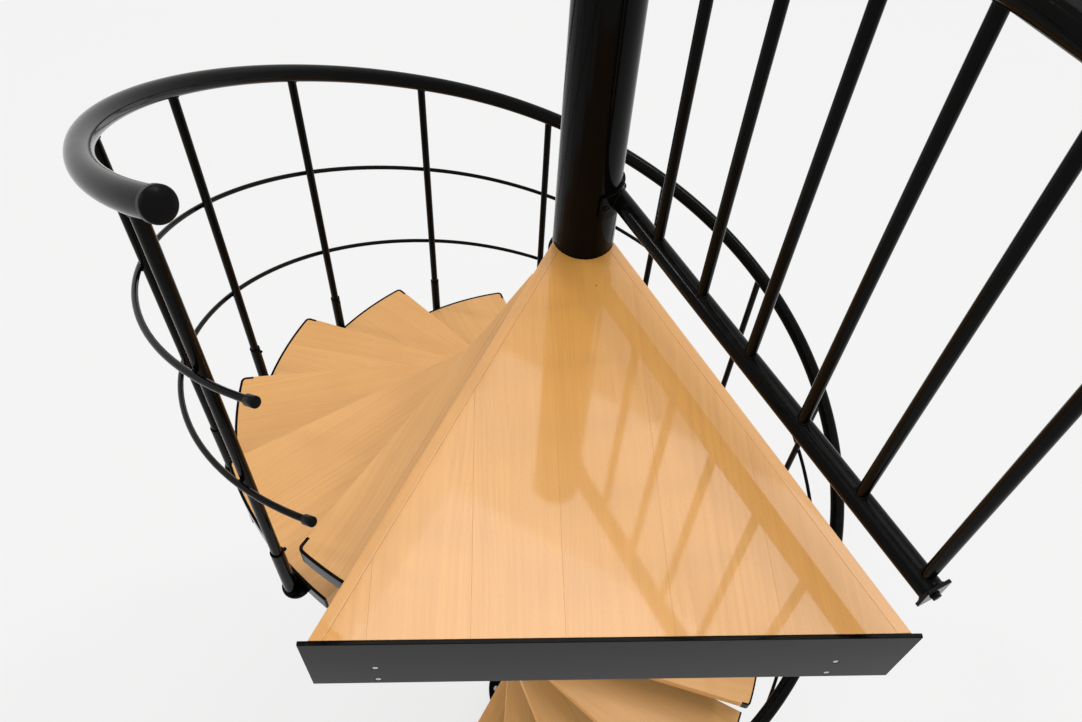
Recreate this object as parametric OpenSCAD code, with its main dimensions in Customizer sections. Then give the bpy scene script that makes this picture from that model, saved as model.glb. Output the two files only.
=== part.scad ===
// Spiral staircase: a steel pole with timber treads in steel trays, a wedge
// landing at the top, a winding handrail and a straight guard over the landing.
// Millimetres, +Z up. The origin is on the pole's axis, at the underside of the
// base plate. The landing points toward -Y.

/* [Stair] */
// Height from the lower floor to the top of the landing
floor_height = 3020; // [2600:10:3400]
// Number of rises, the last one up to the landing included
rises = 16; // [13:1:17]
// Turn from one tread to the next, in degrees
step_angle = 25.5; // [23:0.5:28]
// Turn from the landing's centre line to the front edge of the top tread
first_tread_turn = 33; // [30:1:40]

/* [Pole] */
// Outer radius of the pole
pole_r = 66.5; // [55:0.5:80]
// Wall of the pole's tube
pole_wall = 5; // [3:0.5:8]
// Height of the pole above the landing
pole_above = 1065; // [1010:5:1200]
// Overhang of the cap round the top of the pole
cap_rim = 3; // [1:0.5:8]
// Height of the cap's straight edge
cap_edge = 8; // [4:1:15]
// Rise of the cap's dome
cap_dome = 9; // [4:1:20]

/* [Base] */
// Radius of the base plate
base_r = 210; // [180:5:280]
// Thickness of the base plate
base_t = 15; // [10:1:25]
// Number of anchor holes
anchor_count = 6; // [4:1:8]
// Radius of the circle through the anchor holes
anchor_circle_r = 175; // [150:1:190]
// Radius of an anchor hole
anchor_hole_r = 7; // [5:0.5:9]
// Height of the ribs on the base plate
rib_h = 52; // [30:1:55]
// Length of a rib on the plate
rib_len = 84; // [50:1:95]
// Thickness of a rib
rib_t = 8; // [5:1:12]
// Height of a rib at its outer end
rib_toe = 8; // [4:1:15]
// Width of a rib at its top
rib_crown = 8; // [4:1:20]

/* [Treads] */
// Radius of a tread over its steel band
tread_radius = 858; // [700:1:1000]
// Distance from the pole's axis to the line of a tread's front edge
nose_setback = 123; // [105:1:140]
// Distance from the pole's axis to the line of a tread's rear edge
rear_setback = 75; // [72:1:95]
// How far a tread reaches behind the front corner of the one above
tread_overlap = 36; // [20:1:60]
// Thickness of the timber
board_t = 38; // [28:1:45]
// Thickness of the tray's bottom sheet
pan_t = 4; // [3:0.5:6]
// How far the bottom sheet stays inside the tread's rear edge
pan_rear_inset = 1; // [0.6:0.2:4]
// Thickness of the band round the rim
band_t = 6; // [4:0.5:8]
// Outer radius of the band's bend at the front corner
hook_r = 14; // [11:0.5:20]
// Length of the band's end along the front edge
hook_len = 18; // [8:1:30]
// How far the bent end stays inside the faces of the band
hook_inset = 0.5; // [0.3:0.1:1]
// How far the timber runs out past the tray's bottom at the front
nose_overhang = 12; // [6:1:20]
// Depth of the lips under the tray's bottom
lip_h = 22; // [10:1:30]
// Thickness of the lips
lip_t = 4; // [3:0.5:6]
// Distance from a tread's rim to the outer ends of the lips
lip_end_gap = 60; // [50:1:120]
// Wall of the collar round the pole
collar_t = 8; // [5:0.5:12]
// Length of the collar below the tray's bottom
collar_drop = 70; // [50:1:80]
// Thickness of the bracket under the tray
bracket_t = 8; // [5:0.5:12]
// Radius that the bracket reaches
bracket_reach = 700; // [450:5:780]
// Depth of the bracket at its outer end
bracket_tip = 14; // [8:1:25]

/* [Landing] */
// Angle from the landing's centre line to each edge
landing_half_angle = 25.5; // [22:0.5:30]
// Distance from the pole's axis to the line of each edge
landing_edge_setback = 54; // [40:1:64]
// Distance from the pole's axis to the landing's straight end
landing_depth = 895; // [800:1:1000]
// Width of the solid strip along each edge
lipping_w = 22; // [15:1:35]
// How far the frame stays inside the timber's edge
frame_inset = 14; // [5:1:25]
// Width of the frame's bars
frame_bar_w = 40; // [30:1:50]
// Height of the frame's bars
frame_bar_h = 50; // [35:1:60]
// Length of the collar below the landing's frame
frame_collar_drop = 35; // [20:1:50]
// Thickness of the steel plate at the landing's end
threshold_t = 8; // [5:0.5:12]
// Height of the plate at the landing's end
threshold_h = 180; // [170:1:200]
// How far the plate runs past the timber at each side
threshold_over = 16; // [5:1:30]
// Radius of the fixing holes in the plate
threshold_hole_r = 6; // [4:0.5:7]
// Distance between the two columns of fixing holes
threshold_hole_span = 780; // [600:10:840]
// Distance between the two rows of fixing holes
threshold_row_gap = 55; // [40:1:60]
// Distance from the plate's lower edge to the lower row of holes
threshold_hole_up = 18; // [14:1:20]

/* [Stair railing] */
// Turn from a tread's front corner to its baluster
baluster_turn = 16; // [10:0.5:20]
// The same for the topmost baluster, near the rails' upper ends
top_baluster_turn = 22; // [12:0.5:24]
// Radius of a baluster
baluster_r = 10.5; // [8:0.5:13]
// Wall of the sleeve at a baluster's foot
sleeve_wall = 3; // [2:0.5:5]
// Space between a tread's band and the sleeve
sleeve_gap = 4; // [2:0.5:10]
// Length of the sleeve above the tread
sleeve_above = 130; // [60:1:160]
// Length of the sleeve below the top of the tread
sleeve_below = 52; // [45:1:70]
// Radius of the round plate at the sleeve's foot, under the tray
foot_plate_r = 30; // [22:1:36]
// Thickness of this plate
foot_plate_t = 8; // [4:0.5:10]
// How far its middle lies inside the circle of balusters
foot_plate_inset = 12; // [6:1:16]
// Height of the lug between sleeve and band
lug_h = 24; // [12:1:30]
// Width of the lug between sleeve and band
lug_w = 10; // [6:1:16]
// Radius of the handrail
handrail_r = 21; // [18:0.5:25]
// Height of the handrail's centre above the line of the front corners
handrail_up = 836; // [800:1:950]
// Radius of the two rails between handrail and treads
mid_rail_r = 6; // [5:0.5:9]
// Height of the upper one of these rails above the line of the front corners
mid_rail_high_up = 506; // [450:1:600]
// Height of the lower one above the line of the front corners
mid_rail_low_up = 193; // [150:1:260]
// How much more than the treads all three rails rise toward the landing
rail_lift = 60; // [0:5:120]
// Number of steps below the top tread at which that rise begins
rail_lift_from = 4.5; // [3:0.5:6]
// Number of steps below the top tread at which it ends
rail_lift_to = 1; // [0:0.5:2]
// Turn from the top tread's front corner to the handrail's upper end
handrail_top_turn = 0.5; // [0:0.5:8]
// The same for the upper one of the two thinner rails
mid_rail_high_turn = 6.5; // [0:0.5:9]
// The same for the lower one
mid_rail_low_turn = 9; // [0:0.5:10]
// Turn from the lowest tread's front corner down to the rails' lower ends
rail_bottom_turn = 1; // [-2:0.5:8]
// Overhang of the handrail's end caps
rail_cap_rim = 2; // [1:0.5:5]
// Length of the straight part of the handrail's end caps
rail_cap_edge = 12; // [6:1:20]
// Rise of the dome on the handrail's end caps
rail_cap_dome = 7; // [3:1:12]
// Wall of the end caps on the two thinner rails
mid_cap_wall = 2.5; // [1.5:0.5:4]
// Length of the end caps on the two thinner rails
mid_cap_len = 20; // [12:1:30]
// Thickness of the closed end of these caps
mid_cap_end = 4; // [2:0.5:6]

/* [Guard] */
// Turn from the landing's centre line to the guard
guard_turn = 25.5; // [24:0.1:28]
// Distance sideways from the pole's axis to the guard's line
guard_offset = 40; // [0:1:42]
// Distance from the pole's axis to the guard's far end
guard_len = 1006; // [900:1:1100]
// Radius of the guard's bottom rail
guard_low_r = 21; // [18:0.5:25]
// Height of the bottom rail's centre above the landing
guard_low_up = 145; // [120:1:240]
// Radius of the guard's top rail
guard_top_r = 24; // [20:0.5:28]
// Height of the top rail's centre above the landing
guard_top_up = 957; // [900:1:985]
// Wall of the guard's rails
guard_wall = 3; // [2:0.5:5]
// Number of balusters in the guard
guard_bars = 6; // [4:1:7]
// Distance between these balusters
guard_bar_pitch = 155; // [110:1:160]
// Distance from the guard's far end to its last baluster
guard_bar_end = 26; // [22:1:60]
// Thickness of the saddle plates on the pole
saddle_t = 6; // [4:0.5:10]
// Height of the saddle plates
saddle_h = 62; // [58:1:80]
// Half of the angle that a saddle plate covers
saddle_half_angle = 45; // [45:1:70]
// Turn from the middle of a saddle plate to each of its screws
saddle_screw_turn = 34; // [34:1:42]
// Radius of the screw heads
screw_head_r = 7; // [4:0.5:8]
// Height of the screw heads
screw_head_h = 5; // [3:0.5:7]
// Thickness of the flat plates at the guard's far end
end_plate_t = 6; // [4:0.5:10]
// How far an end plate stands out round its rail
end_plate_rim = 3; // [1:0.5:8]
// Radius of the fixing hole in an end plate
end_plate_hole_r = 5.5; // [3.5:0.5:7]

/* [Fits] */
// Clearance between a piece and the one that it is seated in
fit = 0.3; // [0.2:0.05:0.5]
// Clearance between timber and the pole
timber_gap = 1; // [0.5:0.5:2]

/* [Hidden] */
$fn = 64;
black = [0.06, 0.06, 0.065];
timber = [0.86, 0.66, 0.42];
strip = [0.80, 0.58, 0.34];

// Angles are measured from +X, and the landing points toward -Y
landing_angle = 270;
// Room for a shape that is cut back by another one
far = 2 * tread_radius;
// How far a cutting shape runs past what it cuts
past = 1;
// How far a welded piece runs into the next one
weld = 1;
// Turn between the rings that a winding rail is drawn from, and their corners
rail_ring_turn = 5;
handrail_sides = 12;
mid_rail_sides = 8;

tread_count = rises - 1;
riser = floor_height / rises;
band_h = board_t + pan_t;
collar_r = pole_r + fit + collar_t;
collar_mid_r = pole_r + fit + collar_t / 2;

// Angle on the rim between a line through the axis and a line set back from it
function rim_angle(setback) = asin(setback / tread_radius);
nose_angle = rim_angle(nose_setback);
overlap_angle = tread_overlap / tread_radius * 180 / PI;
rear_rim_angle = step_angle - nose_angle + overlap_angle;
rear_angle = rear_rim_angle - rim_angle(rear_setback);

// The band's bend at the front corner
hook_y = hook_r - nose_setback;
hook_x = sqrt(pow(tread_radius - hook_r, 2) - pow(hook_y, 2));
hook_angle = atan2(hook_y, hook_x);
hook_lap_angle = weld / hook_r * 180 / PI;

function tread_top(k) = floor_height - k * riser;
function tread_angle(k) = landing_angle - first_tread_turn - (k - 1) * step_angle;

// The rails climb along the line of the treads' front corners
top_corner = tread_angle(1) - nose_angle;
bottom_corner = tread_angle(tread_count) - nose_angle;
baluster_circle_r = tread_radius + sleeve_gap + sleeve_wall + fit + baluster_r;
mid_rail_circle_r = baluster_circle_r + baluster_r + fit + mid_rail_r;
function pitch_height(a) = tread_top(1) + (a - top_corner) / step_angle * riser;

// Near the landing they rise a little more, in a smooth curve
lift_start = top_corner - rail_lift_from * step_angle;
lift_turn = (rail_lift_from - rail_lift_to) * step_angle;
function lift_share(a) = min(1, max(0, (a - lift_start) / lift_turn));
function lift(a) = rail_lift * pow(lift_share(a), 2) * (3 - 2 * lift_share(a));
function lift_rate(a) = 6 * rail_lift * lift_share(a) * (1 - lift_share(a)) / lift_turn;
function rail_slope(r, a) = atan((riser / step_angle + lift_rate(a)) / (r * PI / 180));
function rail_point(r, up, a) = [r * cos(a), r * sin(a), pitch_height(a) + lift(a) + up];

// Places a tread's own shapes: its front edge runs along +X
module place_tread(k) {
    translate([0, 0, tread_top(k)])
        rotate([0, 0, tread_angle(k)])
            children();
}

// Places shapes built along +Z on a rail, pointing up the slope
module place_on_rail(r, up, a) {
    translate(rail_point(r, up, a))
        rotate([0, 0, a + 90])
            rotate([0, 90 - rail_slope(r, a), 0])
                children();
}

// A round cap with a straight edge and a shallow dome on it
module domed_cap(r, edge, rise) {
    ball_r = (r * r + rise * rise) / (2 * rise);
    rotate_extrude()
        intersection() {
            translate([0, edge + rise - ball_r])
                circle(r = ball_r, $fn = 720);
            square([r, edge + rise]);
        }
}

// Base

module base_rib() {
    rotate([90, 0, 0])
        linear_extrude(rib_t, center = true)
            polygon([
                [pole_r + fit, base_t - weld],
                [pole_r + fit + rib_len, base_t - weld],
                [pole_r + fit + rib_len, base_t + rib_toe],
                [pole_r + fit + rib_crown, base_t + rib_h],
                [pole_r + fit, base_t + rib_h],
            ]);
}

module base_plate() {
    color(black) {
        union() {
            difference() {
                cylinder(r = base_r, h = base_t);
                for (i = [0:anchor_count - 1])
                    rotate([0, 0, i * 360 / anchor_count])
                        translate([anchor_circle_r, 0, -past])
                            cylinder(r = anchor_hole_r, h = base_t + 2 * past);
            }
            difference() {
                for (i = [0:anchor_count - 1])
                    rotate([0, 0, (i + 0.5) * 360 / anchor_count])
                        base_rib();
                translate([0, 0, base_t])
                    cylinder(r = pole_r + fit, h = rib_h + past);
            }
        }
    }
}

// Pole

module centre_pole() {
    color(black)
        translate([0, 0, base_t])
            difference() {
                cylinder(r = pole_r, h = floor_height + pole_above - base_t);
                translate([0, 0, -past])
                    cylinder(r = pole_r - pole_wall, h = floor_height + pole_above + 2 * past);
            }
}

module pole_cap() {
    color(black)
        translate([0, 0, floor_height + pole_above])
            domed_cap(pole_r + cap_rim, cap_edge, cap_dome);
}

// Treads

// The wedge between the front and rear lines of a tread, not yet cut to the rim
module wedge_plan(front_inset, rear_inset) {
    rear = rear_setback - rear_inset;
    polygon([
        [0, front_inset - nose_setback],
        [far, front_inset - nose_setback],
        [far * cos(rear_angle) - rear * sin(rear_angle),
            far * sin(rear_angle) + rear * cos(rear_angle)],
        [0, rear / cos(rear_angle)],
    ]);
}

// The sector between two angles round the origin
module sector(r, from, to) {
    polygon([
        [0, 0],
        [r * cos(from), r * sin(from)],
        [r / cos((to - from) / 2) * cos((from + to) / 2),
            r / cos((to - from) / 2) * sin((from + to) / 2)],
        [r * cos(to), r * sin(to)],
    ]);
}

// The band runs along the rim, round the front corner and a little way inward
module band_plan() {
    intersection() {
        difference() {
            circle(r = tread_radius, $fn = 180);
            circle(r = tread_radius - band_t, $fn = 180);
        }
        sector(far, hook_angle, rear_rim_angle);
    }
    bend_r = hook_r - hook_inset;
    bend_t = band_t - 2 * hook_inset;
    translate([hook_x, hook_y]) {
        intersection() {
            difference() {
                circle(r = bend_r);
                circle(r = bend_r - bend_t);
            }
            sector(2 * hook_r, -90, hook_angle + hook_lap_angle);
        }
        translate([-hook_len, -bend_r])
            square([hook_len, bend_t]);
    }
}

// The timber's outer corner is cut back to lie inside the band
module board_corner_cut() {
    translate([hook_x, hook_y]) {
        difference() {
            sector(2 * hook_r, -90, hook_angle);
            circle(r = hook_r - band_t - 2 * fit);
        }
        translate([-hook_len - fit, -2 * hook_r])
            square([hook_len + fit, hook_r + band_t + fit]);
    }
}

module pan_plan() {
    intersection() {
        wedge_plan(nose_overhang, pan_rear_inset);
        circle(r = tread_radius - band_t / 2, $fn = 180);
    }
}

module tray_lips() {
    lip_len = tread_radius - lip_end_gap - collar_mid_r;
    translate([collar_mid_r, nose_overhang - nose_setback, -lip_h])
        cube([lip_len, lip_t, lip_h + pan_t / 2]);
    rotate([0, 0, rear_angle])
        translate([collar_mid_r, rear_setback - pan_rear_inset - lip_t, -lip_h])
            cube([lip_len, lip_t, lip_h + pan_t / 2]);
}

module tray_bracket() {
    rotate([0, 0, rear_angle / 2])
        rotate([90, 0, 0])
            linear_extrude(bracket_t, center = true)
                polygon([
                    [collar_mid_r, pan_t / 2],
                    [bracket_reach, pan_t / 2],
                    [bracket_reach, -bracket_tip],
                    [collar_mid_r, collar_t / 2 - collar_drop],
                ]);
}

// Bottom sheet, band, lips, bracket and collar are welded into one piece
module tread_tray(k) {
    color(black)
        place_tread(k)
            translate([0, 0, -band_h])
                difference() {
                    union() {
                        linear_extrude(band_h)
                            band_plan();
                        linear_extrude(pan_t)
                            pan_plan();
                        tray_lips();
                        tray_bracket();
                        translate([0, 0, -collar_drop])
                            cylinder(r = collar_r, h = collar_drop + pan_t);
                    }
                    translate([0, 0, -collar_drop - past])
                        cylinder(r = pole_r + fit, h = collar_drop + band_h + 2 * past);
                }
}

module tread_board(k) {
    color(timber)
        place_tread(k)
            translate([0, 0, -board_t])
                linear_extrude(board_t)
                    difference() {
                        intersection() {
                            wedge_plan(0, fit);
                            circle(r = tread_radius - band_t - fit, $fn = 180);
                        }
                        circle(r = pole_r + timber_gap);
                        board_corner_cut();
                    }
}

// Landing

// The landing's wedge, drawn with its centre line along -Y
module landing_plan(edge_inset, end_inset) {
    setback = landing_edge_setback - edge_inset;
    end_y = end_inset - landing_depth;
    tip_y = setback / sin(landing_half_angle);
    half_w = (tip_y - end_y) * tan(landing_half_angle);
    polygon([[0, tip_y], [-half_w, end_y], [half_w, end_y]]);
}

// Only the part in front of the pole is kept
module landing_front() {
    translate([-far, -far])
        square([2 * far, far]);
}

module landing_deck() {
    color(timber)
        translate([0, 0, floor_height - board_t])
            linear_extrude(board_t)
                difference() {
                    intersection() {
                        landing_plan(lipping_w, 0);
                        landing_front();
                    }
                    circle(r = pole_r + timber_gap);
                }
}

module landing_lipping() {
    color(strip)
        translate([0, 0, floor_height - board_t])
            linear_extrude(board_t)
                difference() {
                    intersection() {
                        landing_plan(0, 0);
                        landing_front();
                    }
                    landing_plan(lipping_w - fit, -past);
                    circle(r = pole_r + timber_gap);
                }
}

module landing_frame_plan() {
    inner = frame_inset + frame_bar_w;
    difference() {
        intersection() {
            landing_plan(frame_inset, 0);
            landing_front();
        }
        difference() {
            landing_plan(inner, frame_bar_w);
            translate([-frame_bar_w / 2, -far])
                square([frame_bar_w, 2 * far]);
        }
    }
}

module landing_frame() {
    color(black)
        translate([0, 0, floor_height - board_t - frame_bar_h])
            difference() {
                union() {
                    linear_extrude(frame_bar_h)
                        landing_frame_plan();
                    translate([0, 0, -frame_collar_drop])
                        cylinder(r = collar_r, h = frame_collar_drop + frame_bar_h);
                }
                translate([0, 0, -frame_collar_drop - past])
                    cylinder(r = pole_r + fit, h = frame_collar_drop + frame_bar_h + 2 * past);
            }
}

module landing_threshold() {
    timber_half_w = (landing_edge_setback / sin(landing_half_angle) + landing_depth)
        * tan(landing_half_angle);
    half_w = timber_half_w + threshold_over;
    hole_z = [threshold_hole_up, threshold_hole_up + threshold_row_gap];
    color(black)
        translate([0, -landing_depth, floor_height - threshold_h])
            difference() {
                translate([-half_w, -threshold_t, 0])
                    cube([2 * half_w, threshold_t, threshold_h]);
                for (side = [-1, 1])
                    for (z = hole_z)
                        translate([side * threshold_hole_span / 2, past, z])
                            rotate([90, 0, 0])
                                cylinder(r = threshold_hole_r, h = threshold_t + 2 * past);
            }
}

// Stair railing

// The first tread has no baluster: the landing is there
top_baluster = 2;
function baluster_corner_turn(k) = k == top_baluster ? top_baluster_turn : baluster_turn;
function baluster_local_angle(k) = baluster_corner_turn(k) - nose_angle;
function baluster_angle(k) = tread_angle(k) + baluster_local_angle(k);

module baluster(k) {
    a = baluster_angle(k);
    foot = tread_top(k) - sleeve_below + baluster_r + sleeve_wall;
    top = rail_point(baluster_circle_r, handrail_up, a);
    difference() {
        translate([top[0], top[1], foot])
            cylinder(r = baluster_r, h = top[2] - foot);
        place_on_rail(baluster_circle_r, handrail_up, a)
            cylinder(r = handrail_r + fit, h = 8 * handrail_r, center = true);
    }
}

module balusters() {
    color(black)
        for (k = [top_baluster:tread_count])
            baluster(k);
}

module sleeve(k) {
    r = baluster_r + fit + sleeve_wall;
    foot = r - sleeve_below;
    lug_z = -(band_h + lug_h) / 2;
    place_tread(k)
        rotate([0, 0, baluster_local_angle(k)])
            difference() {
                union() {
                    translate([baluster_circle_r, 0, foot])
                        cylinder(r = r, h = sleeve_above - foot);
                    translate([baluster_circle_r, 0, foot])
                        sphere(r = r);
                    translate([tread_radius - band_t, -lug_w / 2, lug_z])
                        cube([band_t + sleeve_gap + sleeve_wall, lug_w, lug_h]);
                    translate([baluster_circle_r - foot_plate_inset, 0, -band_h - foot_plate_t])
                        cylinder(r = foot_plate_r, h = foot_plate_t);
                }
                translate([baluster_circle_r, 0, foot - fit])
                    cylinder(r = baluster_r + fit, h = sleeve_above - foot + fit + past);
                translate([0, 0, lug_z - past])
                    cylinder(r = tread_radius, h = 2 * band_h, $fn = 180);
            }
}

module baluster_sleeves() {
    color(black)
        for (k = [top_baluster:tread_count])
            sleeve(k);
}

// A tube swept along a helix: rings of points that lie square to the path
module helix_rail(r, up, tube_r, from, to, sides) {
    rings = ceil(abs(to - from) / rail_ring_turn);
    points = [
        for (i = [0:rings])
            let (
                a = from + (to - from) * i / rings,
                c = rail_point(r, up, a),
                slope = rail_slope(r, a),
                out = [cos(a), sin(a), 0],
                upward = [sin(a) * sin(slope), -cos(a) * sin(slope), cos(slope)]
            )
            for (j = [0:sides - 1])
                let (t = (j + 0.5) * 360 / sides)
                c + tube_r * (cos(t) * out + sin(t) * upward)
    ];
    walls = [
        for (i = [0:rings - 1])
            for (j = [0:sides - 1])
                let (n = (j + 1) % sides)
                [i * sides + j, i * sides + n, (i + 1) * sides + n, (i + 1) * sides + j]
    ];
    first_end = [for (j = [sides - 1:-1:0]) j];
    last_end = [for (j = [0:sides - 1]) rings * sides + j];
    polyhedron(points, concat(walls, [first_end], [last_end]), convexity = 10);
}

handrail_from = bottom_corner - rail_bottom_turn;
handrail_to = top_corner + handrail_top_turn;
mid_rail_high_to = top_corner + mid_rail_high_turn;
mid_rail_low_to = top_corner + mid_rail_low_turn;

module handrail() {
    color(black)
        helix_rail(baluster_circle_r, handrail_up, handrail_r,
            handrail_from, handrail_to, handrail_sides);
}

module mid_rail_high() {
    color(black)
        helix_rail(mid_rail_circle_r, mid_rail_high_up, mid_rail_r,
            handrail_from, mid_rail_high_to, mid_rail_sides);
}

module mid_rail_low() {
    color(black)
        helix_rail(mid_rail_circle_r, mid_rail_low_up, mid_rail_r,
            handrail_from, mid_rail_low_to, mid_rail_sides);
}

module handrail_cap() {
    domed_cap(handrail_r + rail_cap_rim, rail_cap_edge, rail_cap_dome);
}

module handrail_caps() {
    color(black) {
        place_on_rail(baluster_circle_r, handrail_up, handrail_to)
            handrail_cap();
        place_on_rail(baluster_circle_r, handrail_up, handrail_from)
            rotate([180, 0, 0])
                handrail_cap();
    }
}

// A cap is pushed over the rail's end as far as its closed end
module mid_rail_cap() {
    translate([0, 0, mid_cap_end - mid_cap_len])
        difference() {
            cylinder(r = mid_rail_r + fit + mid_cap_wall, h = mid_cap_len);
            translate([0, 0, -past])
                cylinder(r = mid_rail_r + fit, h = mid_cap_len - mid_cap_end + past);
        }
}

// Both caps of one of the thinner rails
module mid_rail_cap_pair(up, to) {
    place_on_rail(mid_rail_circle_r, up, to)
        mid_rail_cap();
    place_on_rail(mid_rail_circle_r, up, handrail_from)
        rotate([180, 0, 0])
            mid_rail_cap();
}

module mid_rail_caps() {
    color(black) {
        mid_rail_cap_pair(mid_rail_high_up, mid_rail_high_to);
        mid_rail_cap_pair(mid_rail_low_up, mid_rail_low_to);
    }
}

// Guard

guard_rail_end = guard_len - end_plate_t;
guard_low_z = floor_height + guard_low_up;
guard_top_z = floor_height + guard_top_up;
// Turn from the guard's direction to where its rails meet the pole
saddle_turn = asin(guard_offset / (pole_r + saddle_t));

// Places shapes built round the pole with the guard running along +X
module place_guard() {
    rotate([0, 0, landing_angle + guard_turn])
        children();
}

// Places shapes built with the guard's line along the X axis
module on_guard_line() {
    place_guard()
        translate([0, guard_offset, 0])
            children();
}

module rail_bar(r, length) {
    rotate([0, 90, 0])
        cylinder(r = r, h = length);
}

module guard_rail(r, z) {
    on_guard_line()
        translate([0, 0, z])
            difference() {
                rail_bar(r, guard_rail_end);
                rail_bar(r - guard_wall, guard_len);
                translate([0, -guard_offset, -2 * r])
                    cylinder(r = pole_r + saddle_t + 2 * fit, h = 4 * r);
            }
}

module guard_bottom_rail() {
    color(black)
        guard_rail(guard_low_r, guard_low_z);
}

module guard_top_rail() {
    color(black)
        guard_rail(guard_top_r, guard_top_z);
}

module guard_balusters() {
    color(black)
        on_guard_line()
            for (i = [0:guard_bars - 1])
                difference() {
                    translate([guard_len - guard_bar_end - i * guard_bar_pitch, 0, guard_low_z])
                        cylinder(r = baluster_r, h = guard_top_z - guard_low_z);
                    translate([0, 0, guard_low_z])
                        rail_bar(guard_low_r + fit, guard_len + past);
                    translate([0, 0, guard_top_z])
                        rail_bar(guard_top_r + fit, guard_len + past);
                }
}

// A curved plate screwed to the pole where a rail meets it
module saddle(z) {
    inner = pole_r + fit;
    place_guard()
        rotate([0, 0, saddle_turn])
            translate([0, 0, z]) {
                translate([0, 0, -saddle_h / 2])
                    linear_extrude(saddle_h)
                        intersection() {
                            difference() {
                                circle(r = inner + saddle_t);
                                circle(r = inner);
                            }
                            sector(3 * pole_r, -saddle_half_angle, saddle_half_angle);
                        }
                for (side = [-1, 1])
                    rotate([0, 0, side * saddle_screw_turn])
                        translate([inner + saddle_t / 2, 0, 0])
                            rotate([0, 90, 0])
                                cylinder(r = screw_head_r, h = saddle_t / 2 + screw_head_h);
            }
}

module guard_saddles() {
    color(black) {
        saddle(guard_low_z);
        saddle(guard_top_z);
    }
}

module end_plate(r, z) {
    side = 2 * (r + end_plate_rim);
    on_guard_line()
        translate([guard_rail_end, 0, z])
            difference() {
                translate([0, -side / 2, -side / 2])
                    cube([end_plate_t, side, side]);
                translate([-past, 0, 0])
                    rail_bar(end_plate_hole_r, end_plate_t + 2 * past);
            }
}

module guard_end_plates() {
    color(black) {
        end_plate(guard_low_r, guard_low_z);
        end_plate(guard_top_r, guard_top_z);
    }
}

// Every piece by name
function two_digits(k) = k < 10 ? str("0", k) : str(k);
function tray_name(k) = str("tread_tray_", two_digits(k));
function board_name(k) = str("tread_board_", two_digits(k));

base_plate();
centre_pole();
pole_cap();
for (k = [1:tread_count])
    tread_tray(k);
for (k = [1:tread_count])
    tread_board(k);
landing_frame();
landing_deck();
landing_lipping();
landing_threshold();
balusters();
baluster_sleeves();
handrail();
handrail_caps();
mid_rail_high();
mid_rail_low();
mid_rail_caps();
guard_saddles();
guard_bottom_rail();
guard_top_rail();
guard_balusters();
guard_end_plates();
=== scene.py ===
"""Dresses a spiral staircase: rounded edges, welds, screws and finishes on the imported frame."""

from math import acos, asin, atan, atan2, ceil, cos, hypot, pi, radians, sin, sqrt, tan

import bmesh
import bpy
from bpy.props import FloatProperty, FloatVectorProperty, IntProperty, PointerProperty
from bpy.types import Operator, Panel, PropertyGroup
from mathutils import Matrix, Vector
from mathutils.geometry import tessellate_polygon


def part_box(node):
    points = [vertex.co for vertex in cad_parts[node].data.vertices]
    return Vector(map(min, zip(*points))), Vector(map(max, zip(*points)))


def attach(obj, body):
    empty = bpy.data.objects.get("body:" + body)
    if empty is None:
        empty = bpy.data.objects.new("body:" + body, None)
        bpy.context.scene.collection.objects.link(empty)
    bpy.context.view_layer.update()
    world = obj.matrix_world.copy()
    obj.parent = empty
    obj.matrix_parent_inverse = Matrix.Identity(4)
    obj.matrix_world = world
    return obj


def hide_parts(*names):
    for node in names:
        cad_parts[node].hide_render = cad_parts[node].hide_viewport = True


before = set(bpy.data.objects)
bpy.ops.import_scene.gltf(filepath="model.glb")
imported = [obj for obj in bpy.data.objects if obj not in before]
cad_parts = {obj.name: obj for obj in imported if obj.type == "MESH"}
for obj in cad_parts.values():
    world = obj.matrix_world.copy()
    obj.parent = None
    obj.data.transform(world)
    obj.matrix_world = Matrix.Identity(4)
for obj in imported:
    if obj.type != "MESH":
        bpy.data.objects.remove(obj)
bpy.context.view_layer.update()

bl_info = {
    "name": "Spiral staircase",
    "version": (1, 0, 0),
    "blender": (4, 5, 0),
    "location": "3D View > Sidebar > Staircase",
    "description": "Builds the pieces and finishes of a spiral staircase on its packed frame",
    "category": "Add Mesh",
}

# Sizes that come from the frame, in metres
POLE_FOOT, POLE_TOP = (corner.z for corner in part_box("centre_pole"))
POLE_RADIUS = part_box("centre_pole")[1].x
CAP_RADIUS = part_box("pole_cap")[1].x
CAP_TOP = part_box("pole_cap")[1].z
BASE_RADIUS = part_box("base_plate")[1].x
RIB_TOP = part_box("base_plate")[1].z
BOARD_FOOT, LANDING_TOP = (corner.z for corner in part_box("landing_deck"))
LANDING_END = -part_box("landing_deck")[0].y
PLATE_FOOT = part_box("landing_threshold")[0].z
PLATE_END = -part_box("landing_threshold")[0].y
PLATE_HALF_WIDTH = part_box("landing_threshold")[1].x
RISE = LANDING_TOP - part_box("tread_board_01")[1].z
TREADS = sum(1 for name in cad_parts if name.startswith("tread_board_"))
LOW_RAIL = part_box("guard_bottom_rail")
TOP_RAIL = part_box("guard_top_rail")

# The landing points toward -Y, and treads are counted from the top down
LANDING_TURN = radians(270)
# The first tread has no baluster: the landing is there
TOP_BALUSTER = 2
# Seams between the landing's planks, measured from its centre line
PLANK_SEAMS = (-0.395, -0.230, -0.078, 0.098, 0.276)

# The space between pieces that touch, and how far a part sinks into what it is welded to
FIT = 0.0003
SUNK = 0.001
# A corner this close to an edge line counts as on it
NEAR = 0.001

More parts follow.
